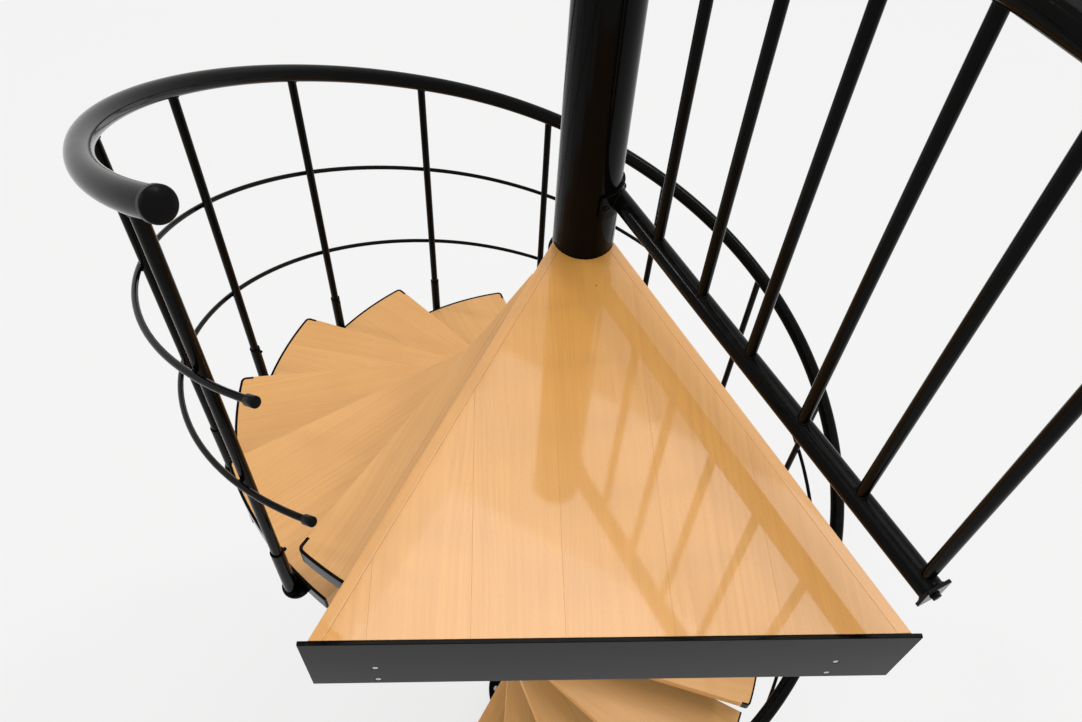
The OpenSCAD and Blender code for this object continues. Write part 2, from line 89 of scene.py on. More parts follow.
# How much the edges of each kind of metal are rounded, and the saddle plates' corners
SHEET_EDGE = 0.0004
LIP_EDGE = 0.0007
POLE_CAP_EDGE = 0.00075
FINE_EDGE = 0.0008
BAND_EDGE = 0.0009
GUARD_EDGE = 0.0010
COLLAR_EDGE = 0.0010
PLATE_EDGE = 0.0012
FOOT_EDGE = 0.0022
FRAME_EDGE = 0.0025
SADDLE_CORNER = 0.009

# Weld beads: their radii, and how far apart the ripples lie
LUG_WELD = 0.0018
WELD = 0.0026
TRAY_WELD = 0.0028
RING_WELD = 0.0030
RIPPLE = 0.0022
LONG_RIPPLE = 0.0024
FRAME_RIPPLE = 0.0026
RAIL_RIPPLE = 0.0028
COLLAR_RIPPLE = 0.0030
# How much thinner a bead is between two ripples, and at its ends
RIPPLE_DEPTH = 0.16
BEAD_END = 0.4

# Welds where a thin rail crosses a baluster: how far above and below the rail's middle they
# sit, and their turn and climb from one point to the next
CROSSING_UP = 0.0042
CROSSING_TURN = 0.002
CROSSING_CLIMB = 0.0008

# The short welds along a tray's bracket: where they begin, and how long they are
STITCHES = (0.10, 0.28, 0.46, 0.64)
STITCH = 0.045

# A baluster ends inside its rail, at this share of the rail's radius from its middle
INTO_RAIL = 0.6
BAR_SIDES = 28

# A screw's socket against its head, a bolt's thread from one turn to the next, and how much
# thinner than its hole a bolt is
SCREW_SOCKET = 0.45
THREAD_PITCH = 0.0015
BOLT_PLAY = 0.001
END_BOLT_PLAY = 0.0015

# Screws below a tread: the radii that they sit on, how far they stay in front of the tread's
# axis and behind its rear line, and the radius and height of their heads
TRAY_SCREW_RADII = (0.22, 0.47, 0.74)
TRAY_SCREW_FRONT = 0.055
TRAY_SCREW_REAR = 0.035
TRAY_SCREW_HEAD = (0.0055, 0.0028)
SLEEVE_SCREW_HEAD = (0.0042, 0.0065)

# How far the wood's pattern moves on from one board, plank or strip to the next
BOARD_STRIDE, BOARD_DRIFT, BOARD_TONE = 0.37, 0.031, 0.137
PLANK_STRIDE, PLANK_DRIFT, PLANK_TONE = 0.9, 0.5, 0.173
STRIP_STRIDE, STRIP_DRIFT, STRIP_TONE = 1.7, 0.5, 0.2
FIRST_PLANK_TONE, MIDDLE_STRIP_TONE = 0.31, 0.5

# How finely rims, bends and round cuts are drawn
RIM_STEP = radians(1.2)
CUT_STEP = radians(4)
AXIS_CUT_STEP = radians(6)
BEND_STEP = radians(9)

# Frames for the upright end plate: Z points toward the upper floor, or back toward the pole
OUTWARD = Matrix(((1, 0, 0, 0), (0, 0, -1, 0), (0, 1, 0, 0), (0, 0, 0, 1)))
INWARD = Matrix(((1, 0, 0, 0), (0, 0, 1, 0), (0, -1, 0, 0), (0, 0, 0, 1)))

# Each look is a finish and the name of the slot that it belongs to
PAINTED = ("black_gloss_paint", "black_steel")
PLATED = ("zinc_plated_steel", "black_steel")
PLASTIC = ("black_cap_plastic", "black_cap")
TREAD_WOOD = ("beech_treads", "tread_timber")
DECK_WOOD = ("lacquered_landing", "landing_timber")
STRIP_WOOD = ("lacquered_strips", "landing_strip")


def rail_radius(box):
    """Radius of a level rail, from the corners of its box."""
    return (box[1] - box[0]).z / 2


def rail_height(box):
    """Height of a level rail's middle, from the corners of its box."""
    return (box[1] + box[0]).z / 2


def length(name, description, default):
    return FloatProperty(name=name, description=description, default=default, min=0.0,
                         unit="LENGTH", precision=4)


def turn(name, description, degrees):
    return FloatProperty(name=name, description=description, default=radians(degrees),
                         subtype="ANGLE", unit="ROTATION")


def share(name, description, default):
    return FloatProperty(name=name, description=description, default=default, min=0.0,
                         max=1.0, subtype="FACTOR")


def colour(name, description, default):
    return FloatVectorProperty(name=name, description=description, default=default, min=0.0,
                               max=1.0, size=3, subtype="COLOR")


class PoleSizes(PropertyGroup):
    """Sizes of the pole, its cap and its base."""

    radius: length("Pole radius", "Outer radius of the pole", POLE_RADIUS)
    wall: length("Pole wall", "Wall of the pole's tube", 0.005)
    cap_radius: length("Cap radius", "Radius of the cap on the pole", CAP_RADIUS)
    cap_edge: length("Cap edge", "Height of the cap's straight edge", 0.008)
    base_radius: length("Base radius", "Radius of the base plate", BASE_RADIUS)
    base_thickness: length("Base thickness", "Thickness of the base plate", POLE_FOOT)
    anchors: IntProperty(name="Anchors", description="Anchor bolts in the base", default=6, min=3)
    anchor_circle: length("Anchor circle", "Radius of the circle of anchor bolts", 0.175)
    anchor_hole: length("Anchor hole", "Radius of an anchor hole", 0.007)
    rib_length: length("Rib length", "Length of a rib on the base plate", 0.084)
    rib_thickness: length("Rib thickness", "Thickness of a rib", 0.008)
    rib_toe: length("Rib toe", "Height of a rib at its outer end", 0.008)
    rib_crown: length("Rib crown", "Width of a rib at its top", 0.008)


class TreadSizes(PropertyGroup):
    """Sizes of the treads and the steel trays that carry them."""

    rise: length("Rise", "Height from one tread to the next", RISE)
    step_turn: turn("Step turn", "Turn from one tread to the next", 25.5)
    first_turn: turn("First turn", "Turn from the landing to the top tread's front", 33.0)
    radius: length("Tread radius", "Radius of a tread over its band", 0.858)
    nose_setback: length("Nose setback", "Distance from axis to front edge line", 0.123)
    rear_setback: length("Rear setback", "Distance from axis to rear edge line", 0.075)
    overlap: length("Overlap", "How far a tread reaches behind the one above", 0.036)
    board: length("Board thickness", "Thickness of the timber", LANDING_TOP - BOARD_FOOT)
    nose_round: length("Nose rounding", "Rounding of a tread's front edge", 0.004)
    edge_round: length("Edge rounding", "Rounding of a tread's other edges", 0.0012)
    sheet: length("Sheet", "Thickness of the tray's bottom sheet", 0.004)
    sheet_inset: length("Sheet inset", "Rear inset of the bottom sheet", 0.001)
    band: length("Band", "Thickness of the band round the rim", 0.006)
    bend_radius: length("Bend radius", "Outer radius of the band's bend", 0.014)
    bend_length: length("Bend length", "Length of the band's end along the front", 0.018)
    nose_overhang: length("Nose overhang", "How far the timber runs past the sheet", 0.012)
    lip_depth: length("Lip depth", "Depth of the lips below the sheet", 0.022)
    lip: length("Lip", "Thickness of the lips", 0.004)
    lip_end_gap: length("Lip end gap", "Distance from the rim to the lips' ends", 0.060)
    collar: length("Collar", "Wall of the collar round the pole", 0.008)
    collar_drop: length("Collar drop", "Length of the collar below the sheet", 0.070)
    bracket: length("Bracket", "Thickness of the bracket below the tray", 0.008)
    bracket_reach: length("Bracket reach", "Radius that the bracket reaches", 0.700)
    bracket_tip: length("Bracket tip", "Depth of the bracket's outer end", 0.014)
    timber_gap: length("Timber gap", "Clearance between timber and pole", 0.001)


class LandingSizes(PropertyGroup):
    """Sizes of the wedge landing at the top."""

    half_angle: turn("Half angle", "Angle from the centre line to each edge", 25.5)
    edge_setback: length("Edge setback", "Distance from axis to edge line", 0.054)
    depth: length("Depth", "Distance from the axis to the straight end", LANDING_END)
    strip: length("Strip width", "Width of the solid strip along each edge", 0.022)
    plank_gap: length("Plank gap", "Gap between two planks", 0.00005)
    plank_round: length("Plank rounding", "Rounding of a plank's edges", 0.00035)
    strip_round: length("Strip rounding", "Rounding of the strips' edges", 0.0025)
    frame_inset: length("Frame inset", "How far the frame stays inside the timber", 0.014)
    bar_width: length("Bar width", "Width of the frame's bars", 0.040)
    bar_height: length("Bar height", "Height of the frame's bars", 0.050)
    collar_drop: length("Collar drop", "Length of the collar below the frame", 0.035)
    hole: length("Hole", "Radius of the fixing holes in the end plate", 0.006)
    hole_span: length("Hole span", "Distance between the two columns of holes", 0.780)
    hole_up: length("Hole height", "Height of the lower holes in the plate", 0.018)
    row_gap: length("Row gap", "Distance between the two rows of holes", 0.055)


class RailingSizes(PropertyGroup):
    """Sizes of the railing that winds round the treads."""

    baluster_turn: turn("Baluster turn", "Turn from front corner to baluster", 16.0)
    top_baluster_turn: turn("Top baluster turn", "The same for the topmost baluster", 22.0)
    baluster: length("Baluster radius", "Radius of a baluster", 0.0105)
    sleeve: length("Sleeve wall", "Wall of the sleeve at a baluster's foot", 0.003)
    sleeve_gap: length("Sleeve gap", "Space between band and sleeve", 0.004)
    sleeve_above: length("Sleeve above", "Length of the sleeve above the tread", 0.130)
    sleeve_below: length("Sleeve below", "Length of the sleeve below the tread's top", 0.052)
    foot_plate: length("Foot plate", "Radius of the round plate at a sleeve's foot", 0.030)
    foot_plate_thickness: length("Foot plate thickness", "Thickness of this plate", 0.008)
    foot_plate_inset: length("Foot plate inset", "Its middle's distance to the balusters", 0.012)
    lug_height: length("Lug height", "Height of the lug between sleeve and band", 0.024)
    lug_width: length("Lug width", "Width of the lug", 0.010)
    handrail: length("Handrail radius", "Radius of the handrail", 0.021)
    handrail_up: length("Handrail height", "Height above the line of front corners", 0.836)
    mid_rail: length("Mid rail radius", "Radius of the two thinner rails", 0.006)
    mid_rail_high: length("Upper mid rail", "Height above the line of front corners", 0.506)
    mid_rail_low: length("Lower mid rail", "Height above the line of front corners", 0.193)
    lift: length("Lift", "How much the rails rise above that line toward the landing", 0.060)
    lift_from: FloatProperty(name="Lift start", description="Steps down to where that begins",
                             default=4.5, min=0.0)
    lift_to: FloatProperty(name="Lift end", description="Steps down to where it ends",
                           default=1.0, min=0.0)
    handrail_end: turn("Handrail end", "Turn of the handrail past the top corner", 0.5)
    high_end: turn("Upper mid rail end", "The same for the upper one of the two", 6.5)
    low_end: turn("Lower mid rail end", "The same for the lower one", 9.0)
    lower_end: turn("Lower end", "Turn of the rails past the lowest corner", 1.0)
    cap_rim: length("Cap rim", "Overhang of the handrail's end caps", 0.002)
    cap_edge: length("Cap edge", "Straight part of the handrail's end caps", 0.012)
    cap_dome: length("Cap dome", "Rise of the dome on the end caps", 0.007)
    mid_cap_wall: length("Mid cap wall", "Wall of the mid rails' end caps", 0.0025)
    mid_cap_length: length("Mid cap length", "Length of the mid rails' end caps", 0.020)
    mid_cap_end: length("Mid cap end", "Closed end of the mid rails' end caps", 0.004)


class GuardSizes(PropertyGroup):
    """Sizes of the straight guard over the landing's edge."""

    turn: turn("Guard turn", "Turn from the landing's centre line to the guard", 25.5)
    offset: length("Guard offset", "Distance sideways from the axis to the guard's line", 0.040)
    length: length("Guard length", "Distance from the axis to the guard's end", 1.006)
    low_radius: length("Bottom rail", "Radius of the bottom rail", rail_radius(LOW_RAIL))
    low_height: length("Bottom rail height", "Height of its centre", rail_height(LOW_RAIL))
    top_radius: length("Top rail", "Radius of the top rail", rail_radius(TOP_RAIL))
    top_height: length("Top rail height", "Height of its centre", rail_height(TOP_RAIL))
    bars: IntProperty(name="Bars", description="Balusters in the guard", default=6, min=1)
    bar_pitch: length("Bar pitch", "Distance between the guard's balusters", 0.155)
    bar_end: length("Bar end", "Distance from the guard's end to the last one", 0.026)
    saddle: length("Saddle", "Thickness of the saddle plates", 0.006)
    saddle_height: length("Saddle height", "Height of the saddle plates", 0.062)
    saddle_half_turn: turn("Saddle half angle", "Half of the angle that a saddle covers", 45.0)
    screw_turn: turn("Screw turn", "Turn from a saddle's middle to each of its screws", 34.0)
    screw_head: length("Screw head", "Radius of a saddle screw's head", 0.007)
    screw_height: length("Screw height", "Height of a saddle screw's head", 0.005)
    end_plate: length("End plate", "Thickness of the end plates", 0.006)
    end_rim: length("End plate rim", "How far an end plate stands round its rail", 0.003)
    end_hole: length("End plate hole", "Radius of the hole in an end plate", 0.0055)


class Finishes(PropertyGroup):
    """Colours and gloss of the steel, the timber and the small parts."""

    paint: colour("Paint", "Black gloss paint on the steel", (0.0032, 0.0029, 0.0027))
    paint_dust: colour("Dust", "Dust that lies on the paint", (0.10, 0.092, 0.082))
    paint_gloss: share("Paint roughness", "Roughness of the paint", 0.07)
    cap: colour("Caps", "Black plastic of the rails' end caps", (0.0040, 0.0040, 0.0042))
    tread_light: colour("Tread, light", "Light wood of the treads", (0.92, 0.500, 0.180))
    tread_dark: colour("Tread, dark", "Dark wood of the treads", (0.78, 0.385, 0.118))
    landing_light: colour("Landing, light", "Light wood of the landing", (0.88, 0.430, 0.100))
    landing_dark: colour("Landing, dark", "Dark wood of the landing", (0.71, 0.318, 0.062))
    strip_light: colour("Strip, light", "Light wood of the edge strips", (0.90, 0.455, 0.130))
    strip_dark: colour("Strip, dark", "Dark wood of the edge strips", (0.70, 0.320, 0.074))
    zinc: colour("Zinc", "Plated steel of bolts and screws", (0.52, 0.52, 0.50))
    floor: colour("Floor", "Plain floor below the stair", (0.80, 0.80, 0.79))


class StudioSettings(PropertyGroup):
    """Strength of the lights round the stair."""

    sky: FloatProperty(name="Sky", description="Even light from all round", default=0.47, min=0.0)
    window: FloatProperty(name="Window", description="Power of the wide soft box overhead",
                          default=88.0, min=0.0, unit="POWER")
    strip: FloatProperty(name="Strip", description="Power of the narrow soft box beside it",
                         default=24.0, min=0.0, unit="POWER")
    side: FloatProperty(name="Side light", description="Strength of the light from the left",
                        default=0.38, min=0.0)
    back: FloatProperty(name="Back light", description="Strength of the light from behind",
                        default=0.25, min=0.0)
    glint: FloatProperty(name="Glints", description="Strength of the two narrow lights that draw "
                         "lines on gloss paint", default=0.32, min=0.0)


def scene():
    return bpy.context.scene


def shift(x, y, z):
    return Matrix.Translation((x, y, z))


def spin(angle, axis):
    return Matrix.Rotation(angle, 4, axis)


def turns(count):
    """The angles that part a full turn into count equal steps."""
    return [2 * pi * i / count for i in range(count)]


def quarter(count):
    """Angles that part a quarter turn into count equal steps, both ends included."""
    return [pi / 2 * i / count for i in range(count + 1)]


def arc(centre, radius, first, last, step):
    """Points on a round stretch, both ends included, no further apart than step."""
    count = max(1, ceil(abs(last - first) / step))
    angles = (first + (last - first) * i / count for i in range(count + 1))
    return [(centre[0] + radius * cos(a), centre[1] + radius * sin(a)) for a in angles]


def circle(radius, sides, centre=(0.0, 0.0)):
    return arc(centre, radius, 0.0, 2 * pi, 2 * pi / sides)[:-1]


def ball_radius(radius, rise):
    """Radius of the ball that a dome of that radius and rise is cut from."""
    return (radius ** 2 + rise ** 2) / (2 * rise)


def dome(widest, ball, top, angles):
    """The section of a dome, as (radius, height) from its rim up to its tip."""
    radii = [widest * cos(a) for a in angles]
    return [(radius, top - ball + sqrt(ball ** 2 - radius ** 2)) for radius in radii]


def tidy(outline):
    """An outline without points that repeat, running anticlockwise."""
    kept = [p for i, p in enumerate(outline)
            if hypot(p[0] - outline[i - 1][0], p[1] - outline[i - 1][1]) > 1e-7]
    area = sum(kept[i - 1][0] * p[1] - p[0] * kept[i - 1][1] for i, p in enumerate(kept))
    return kept if area > 0 else kept[::-1]


def inset(loop, distances):
    """Moves each corner of a loop to its left by its own distance."""
    moved = []
    for i, (x, y) in enumerate(loop):
        before = (Vector((x, y)) - Vector(loop[i - 1])).normalized()
        after = (Vector(loop[(i + 1) % len(loop)]) - Vector((x, y))).normalized()
        left_before = Vector((-before.y, before.x))
        left_after = Vector((-after.y, after.x))
        mitre = (left_before + left_after) / max(0.2, 1 + left_before.dot(left_after))
        moved.append((x + distances[i] * mitre.x, y + distances[i] * mitre.y))
    return moved


def clip(outline, limit, side):
    """Keeps the part of an outline where side * (x - limit) is not positive."""
    kept = []
    for i, here in enumerate(outline):
        back = outline[i - 1]
        here_in = side * (here[0] - limit) <= 0
        back_in = side * (back[0] - limit) <= 0
        if here_in != back_in:
            along = (limit - back[0]) / (here[0] - back[0])
            kept.append((limit, back[1] + along * (here[1] - back[1])))
        if here_in:
            kept.append(here)
    return kept


class Shell:
    """The points and faces of one piece, added part by part."""

    def __init__(self):
        self.mesh = bmesh.new()
        self.grain = self.mesh.verts.layers.float_vector.new("grain")
        self.tone = self.mesh.verts.layers.float.new("tone")

    def add(self, points, faces, place, grain, tone):
        made = []
        for point in points:
            point = Vector(point)
            vert = self.mesh.verts.new(place @ point)
            vert[self.grain] = grain @ point
            vert[self.tone] = tone
            made.append(vert)
        for face in faces:
            self.mesh.faces.new([made[i] for i in face])

    def rings(self, rings, looped=False, place=Matrix(), grain=Matrix(), tone=0.0):
        """A skin over rings of points. A ring of one point closes the skin to a tip."""
        points, index = [], []
        for ring in rings:
            index.append(range(len(points), len(points) + len(ring)))
            points.extend(ring)
        sides = max(len(ring) for ring in rings)
        faces = []
        pairs = list(zip(index, index[1:]))
        if looped:
            pairs.append((index[-1], index[0]))
        for low, high in pairs:
            for j in range(sides):
                n = (j + 1) % sides
                corners = [low[j % len(low)], low[n % len(low)],
                           high[n % len(high)], high[j % len(high)]]
                faces.append(list(dict.fromkeys(corners)))
        if not looped:
            faces.extend(list(end) for end in (index[0], index[-1]) if len(end) > 2)
        self.add(points, faces, place, grain, tone)

    def turned(self, profile, sides, looped=False, place=Matrix(), corners=0):
        """A profile of (radius, height) turned round Z, or with flats where corners is set."""
        def reach(a):
            if not corners:
                return 1.0
            flat = 2 * pi / corners
            return cos(flat / 2) / cos((a % flat) - flat / 2)

        rings = []
        for radius, height in profile:
            if radius < 1e-7:
                rings.append([(0.0, 0.0, height)])
                continue
            rings.append([(radius * reach(a) * cos(a), radius * reach(a) * sin(a), height)
                          for a in turns(sides)])
        self.rings(rings, looped, place)

    def tube(self, places, radius, sides):
        """A round bar along a row of places, whose Z points along the bar."""
        ring = [Vector((x, y, 0.0)) for x, y in circle(radius, sides)]
        self.rings([[place @ point for point in ring] for place in places])

    def plate(self, outline, low, high, ease, holes=(), place=Matrix(), grain=Matrix(),
              tone=0.0, low_ease=None, steps=3):
        """A flat plate with edges rounded by ease, a number or a function of the corner."""
        loops = [tidy(outline)] + [tidy(hole)[::-1] for hole in holes]
        high_eases = [[ease(*p) if callable(ease) else ease for p in loop] for loop in loops]
        low_eases = high_eases
        if low_ease is not None:
            low_eases = [[low_ease] * len(loop) for loop in loops]
        points, faces, caps = [], [], ([], [])
        for loop, top, bottom in zip(loops, high_eases, low_eases):
            levels = []
            for a in reversed(quarter(steps)):
                ring = inset(loop, [e * (1 - cos(a)) for e in bottom])
                levels.append([(x, y, low + e * (1 - sin(a))) for (x, y), e in zip(ring, bottom)])
            for a in quarter(steps):
                ring = inset(loop, [e * (1 - cos(a)) for e in top])
                levels.append([(x, y, high - e * (1 - sin(a))) for (x, y), e in zip(ring, top)])
            first, count = len(points), len(loop)
            for level in levels:
                points.extend(level)
            rows = [range(first + i * count, first + (i + 1) * count) for i in range(len(levels))]
            for low_row, high_row in zip(rows, rows[1:]):
                for j in range(count):
                    n = (j + 1) % count
                    faces.append([low_row[j], low_row[n], high_row[n], high_row[j]])
            caps[0].append(rows[0])
            caps[1].append(rows[-1])
        for cap in caps:
            order = [i for loop in cap for i in loop]
            flat = [[Vector(points[i][:2] + (0.0,)) for i in loop] for loop in cap]
            faces.extend([order[i] for i in triangle] for triangle in tessellate_polygon(flat))
        self.add(points, faces, place, grain, tone)

    def bead(self, path, radius, closed=False, sides=8):
        """A weld: a rounded line with the ripples that the torch leaves."""
        rings = []
        for i, point in enumerate(path):
            after = path[(i + 1) % len(path)] if closed or i + 1 < len(path) else point
            before = path[i - 1] if closed or i else point
            along = (after - before).normalized()
            side = along.cross(Vector((0.13, 0.21, 0.97))).normalized()
            if side.length < 0.5:
                side = along.cross(Vector((1.0, 0.0, 0.0))).normalized()
            up = side.cross(along)
            size = radius * (1 - RIPPLE_DEPTH * (i % 2))
            if not closed and i in (0, len(path) - 1):
                size *= BEAD_END
            rings.append([point + size * (cos(a) * side + sin(a) * up) for a in turns(sides)])
        self.rings(rings, looped=closed)

    def object(self, name, look, replaces=(), crease=38.0, even=False):
        """Turns the shell into a piece that rides on the stair."""
        finish_name, slot = look
        bmesh.ops.remove_doubles(self.mesh, verts=self.mesh.verts, dist=1e-6)
        bmesh.ops.recalc_face_normals(self.mesh, faces=self.mesh.faces)
        data = bpy.data.meshes.new(name)
        self.mesh.to_mesh(data)
        self.mesh.free()
        data.shade_smooth()
        data.set_sharp_from_angle(angle=radians(crease))
        data.materials.append(finish(finish_name))
        piece = bpy.data.objects.new(name, data)
        scene().collection.objects.link(piece)
        if even:
            normals = piece.modifiers.new("even_normals", "WEIGHTED_NORMAL")
            normals.keep_sharp = True
        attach(piece, "root")
        if replaces:
            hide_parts(*replaces)
        return piece


class Signal:
    """One socket of a finish, with arithmetic that adds Math nodes."""

    def __init__(self, finish, socket):
        self.finish = finish
        self.socket = socket

    def math(self, operation, *terms, clamp=False):
        return self.finish.node("ShaderNodeMath", {"operation": operation, "use_clamp": clamp},
                                dict(enumerate(terms)))

    def __add__(self, other):
        return self.math("ADD", self, other)

    __radd__ = __add__

    def __sub__(self, other):
        return self.math("SUBTRACT", self, other)

    def __rsub__(self, other):
        return self.math("SUBTRACT", other, self)

    def __mul__(self, other):
        return self.math("MULTIPLY", self, other)

    __rmul__ = __mul__

    def __truediv__(self, other):
        return self.math("DIVIDE", self, other)

    def __gt__(self, other):
        return self.math("GREATER_THAN", self, other)

    def floor(self):
        return self.math("FLOOR", self)

    def part(self):
        return self.math("FRACT", self)

    def root(self):
        return self.math("SQRT", self)

    def held(self):
        return self.math("ADD", self, 0.0, clamp=True)

    def between(self, low, high):
        """0 below low, 1 above high, and a smooth slope from one to the other."""
        return self.finish.node("ShaderNodeMapRange", {"interpolation_type": "SMOOTHSTEP"},
                                {"Value": self, "From Min": low, "From Max": high})


class Finish:
    """A procedural material and the nodes that it is made of."""

    def __init__(self, name, data=None):
        self.material = data or bpy.data.materials.new(name)
        self.material.use_nodes = True
        self.tree = self.material.node_tree
        self.tree.nodes.clear()

    def node(self, kind, settings=None, sockets=None, output=0):
        made = self.tree.nodes.new(kind)
        for name, value in (settings or {}).items():
            setattr(made, name, value)
        for key, value in (sockets or {}).items():
            if isinstance(value, Signal):
                self.tree.links.new(value.socket, made.inputs[key])
            else:
                made.inputs[key].default_value = value
        return Signal(self, made.outputs[output])

    def mix(self, factor, first, second):
        """A colour between two colours."""
        colours = [c if isinstance(c, Signal) else (*c, 1.0) for c in (first, second)]
        return self.node("ShaderNodeMix", {"data_type": "RGBA"},
                         {0: factor, 6: colours[0], 7: colours[1]}, output=2)

    def axes(self, vector):
        return [self.node("ShaderNodeSeparateXYZ", None, {0: vector}, output=i) for i in range(3)]

    def vector(self, x, y, z):
        return self.node("ShaderNodeCombineXYZ", None, {0: x, 1: y, 2: z})

    def place(self):
        return self.node("ShaderNodeTexCoord", None, None, output="Object")

    def noise(self, vector, scale, detail=2.0, roughness=0.5):
        return self.node("ShaderNodeTexNoise", {"noise_dimensions": "3D"},
                         {"Vector": vector, "Scale": scale, "Detail": detail,
                          "Roughness": roughness})

    def spots(self, vector, scale, output="Distance"):
        return self.node("ShaderNodeTexVoronoi", {"voronoi_dimensions": "3D", "feature": "F1"},
                         {"Vector": vector, "Scale": scale}, output=output)

    def chance(self, vector):
        """A number from 0 to 1 that differs from cell to cell."""
        return self.node("ShaderNodeTexWhiteNoise", {"noise_dimensions": "2D"},
                         {"Vector": vector})

    def bump(self, height, strength, distance):
        return self.node("ShaderNodeBump", None,
                         {"Strength": strength, "Distance": distance, "Height": height})

    def close(self, shader, output="ShaderNodeOutputMaterial"):
        out = self.tree.nodes.new(output)
        self.tree.links.new(shader.socket, out.inputs["Surface"])
        return self.material


def steel_paint(name, paint, dust, roughness):
    """Black gloss paint on steel: a soft orange peel, faint dust on top, fine rubbed marks."""
    f = Finish(name)
    place = f.place()
    peel = f.noise(place, 260.0, 1.0)
    sag = f.noise(place, 22.0, 2.0)
    cloud = f.noise(place, 5.0, 3.0)
    rubbed = f.noise(place, 90.0, 4.0, 0.7).between(0.60, 0.72)
    up = f.axes(f.node("ShaderNodeNewGeometry", None, None, output="Normal"))[2]
    settled = up.between(0.55, 0.98) * f.noise(place, 60.0, 3.0).between(0.42, 0.75)
    speckle = f.spots(place, 240.0).between(0.22, 0.10) * up.between(0.3, 0.9)
    base = f.mix(settled * 0.04 + speckle * 0.08, paint, dust)
    shader = f.node("ShaderNodeBsdfPrincipled", None, {
        "Base Color": base,
        "Roughness": roughness + cloud * 0.05 + settled * 0.06 + rubbed * 0.05,
        "Specular IOR Level": 0.05,
        "Normal": f.bump(peel * 0.35 + sag, 0.10, 0.002),
    })
    return f.close(shader)


def end_plastic(name, paint):
    """Moulded plastic of the rails' end caps, with a fine matt grain."""
    f = Finish(name)
    place = f.place()
    grain = f.noise(place, 900.0, 2.0)
    worn = f.noise(place, 45.0, 3.0).between(0.5, 0.8)
    shader = f.node("ShaderNodeBsdfPrincipled", None, {
        "Base Color": f.mix(worn * 0.20, paint, (0.015, 0.015, 0.016)),
        "Roughness": 0.26 + worn * 0.14,
        "Specular IOR Level": 0.06,
        "Normal": f.bump(grain, 0.12, 0.0004),
    })
    return f.close(shader)


def plated_steel(name, zinc):
    """Zinc-plated bolts and screws, with a dull film and a few darker spots."""
    f = Finish(name)
    place = f.place()
    film = f.noise(place, 70.0, 3.0)
    spot = f.noise(place, 260.0, 2.0).between(0.60, 0.75)
    shader = f.node("ShaderNodeBsdfPrincipled", None, {
        "Base Color": f.mix(spot * 0.6, zinc, (0.16, 0.14, 0.11)),
        "Metallic": 1.0 - spot * 0.5,
        "Roughness": 0.28 + film * 0.22,
        "Normal": f.bump(film, 0.10, 0.0005),
    })
    return f.close(shader)


def timber(name, light, dark, stave, roughness, lacquer, ring_depth):
    """Beech: long grain in staves, nested growth rings, fine rays, and a few pin knots.

    The grain attribute holds metres along, across and through the wood, and tone tells one
    board or plank from the next.
    """
    f = Finish(name)
    grain = f.node("ShaderNodeAttribute", {"attribute_name": "grain"}, None, output="Vector")
    tone = f.node("ShaderNodeAttribute", {"attribute_name": "tone"}, None, output="Fac")
    along, across, through = f.axes(grain)

    # Each stave was cut from another place in the tree
    number = (across / stave).floor()
    in_stave = (across / stave).part()
    chance = f.chance(f.vector(number, tone * 37.0, 0.0))
    other = f.chance(f.vector(number + 11.0, tone * 53.0, 0.0))
    joint = 0.0007 / stave
    seam = in_stave.between(0.0, joint) * (1.0 - in_stave).between(0.0, joint)
    away = chance * 9.0

    # Growth rings round a heart that runs almost along the stave
    drift = f.noise(f.vector(along * 1.1 + away, across * 2.5, chance * 7.0), 1.0, 2.0)
    waver = f.noise(f.vector(along * 5.0 + away, across * 9.0, 3.0), 1.0, 2.0)
    off_heart = (in_stave - 0.5) * stave + (other - 0.5) * 0.10 + (drift - 0.5) * 0.11
    depth = through + ring_depth + along * ((chance - 0.5) * 0.05) + (waver - 0.5) * 0.008
    ring = ((off_heart * off_heart + depth * depth).root() / 0.0075).part()
    late = ring.between(0.35, 0.93) * (1.0 - ring.between(0.93, 1.0))
    ring_mask = f.noise(f.vector(along * 1.6, across * 7.0, away), 1.0, 2.0).between(0.38, 0.66)

    # Fibres, streaks and rays
    fibre = f.noise(f.vector(along * 9.0, across * 420.0, through * 420.0 + away), 1.0, 2.0, 0.6)
    streak = f.noise(f.vector(along * 1.7, across * 62.0, through * 40.0 + away), 1.0, 3.0, 0.6)
    patch = f.noise(f.vector(along * 1.8 + away, across * 6.0, 0.0), 1.0, 3.0)
    rays = f.spots(f.vector(along * 95.0 + away, across * 620.0, through * 620.0), 1.0)
    ray = rays.between(0.34, 0.16)

    tint = (0.55 + (streak - 0.5) * 0.90 + (fibre - 0.5) * 0.55 + (patch - 0.5) * 0.75
            + (chance - 0.5) * 0.30 + (tone.part() - 0.5) * 0.20).held()
    wood = f.mix(tint, dark, light)
    deep = [level * kept for level, kept in zip(dark, (0.72, 0.62, 0.50))]
    wood = f.mix(late * ring_mask * 0.13, wood, deep)
    wood = f.mix(ray * 0.18, wood, deep)

    # Pin knots and small stains
    cells = f.vector(along * 7.0 + away, across * 12.0, 0.0)
    knots = f.spots(cells, 1.0)
    rare = f.axes(f.spots(cells, 1.0, output="Color"))[0] > 0.80
    wood = f.mix(knots.between(0.030, 0.012) * rare * 0.85, wood, [c * 0.22 for c in dark])
    wood = f.mix((1.0 - seam) * 0.40, wood, [c * 0.35 for c in dark])

    relief = fibre * 0.35 + late * 0.25 - ray * 0.35 + seam * 1.2
    wave = f.noise(f.vector(along * 5.0, across * 9.0, tone), 1.0, 2.0)
    shader = f.node("ShaderNodeBsdfPrincipled", None, {
        "Base Color": wood,
        "Roughness": roughness + (fibre - 0.5) * 0.10 + late * 0.04,
        "Coat Weight": lacquer,
        "Coat Roughness": 0.055,
        "Normal": f.bump(relief + wave * 2.0, 0.10, 0.0008),
    })
    return f.close(shader)


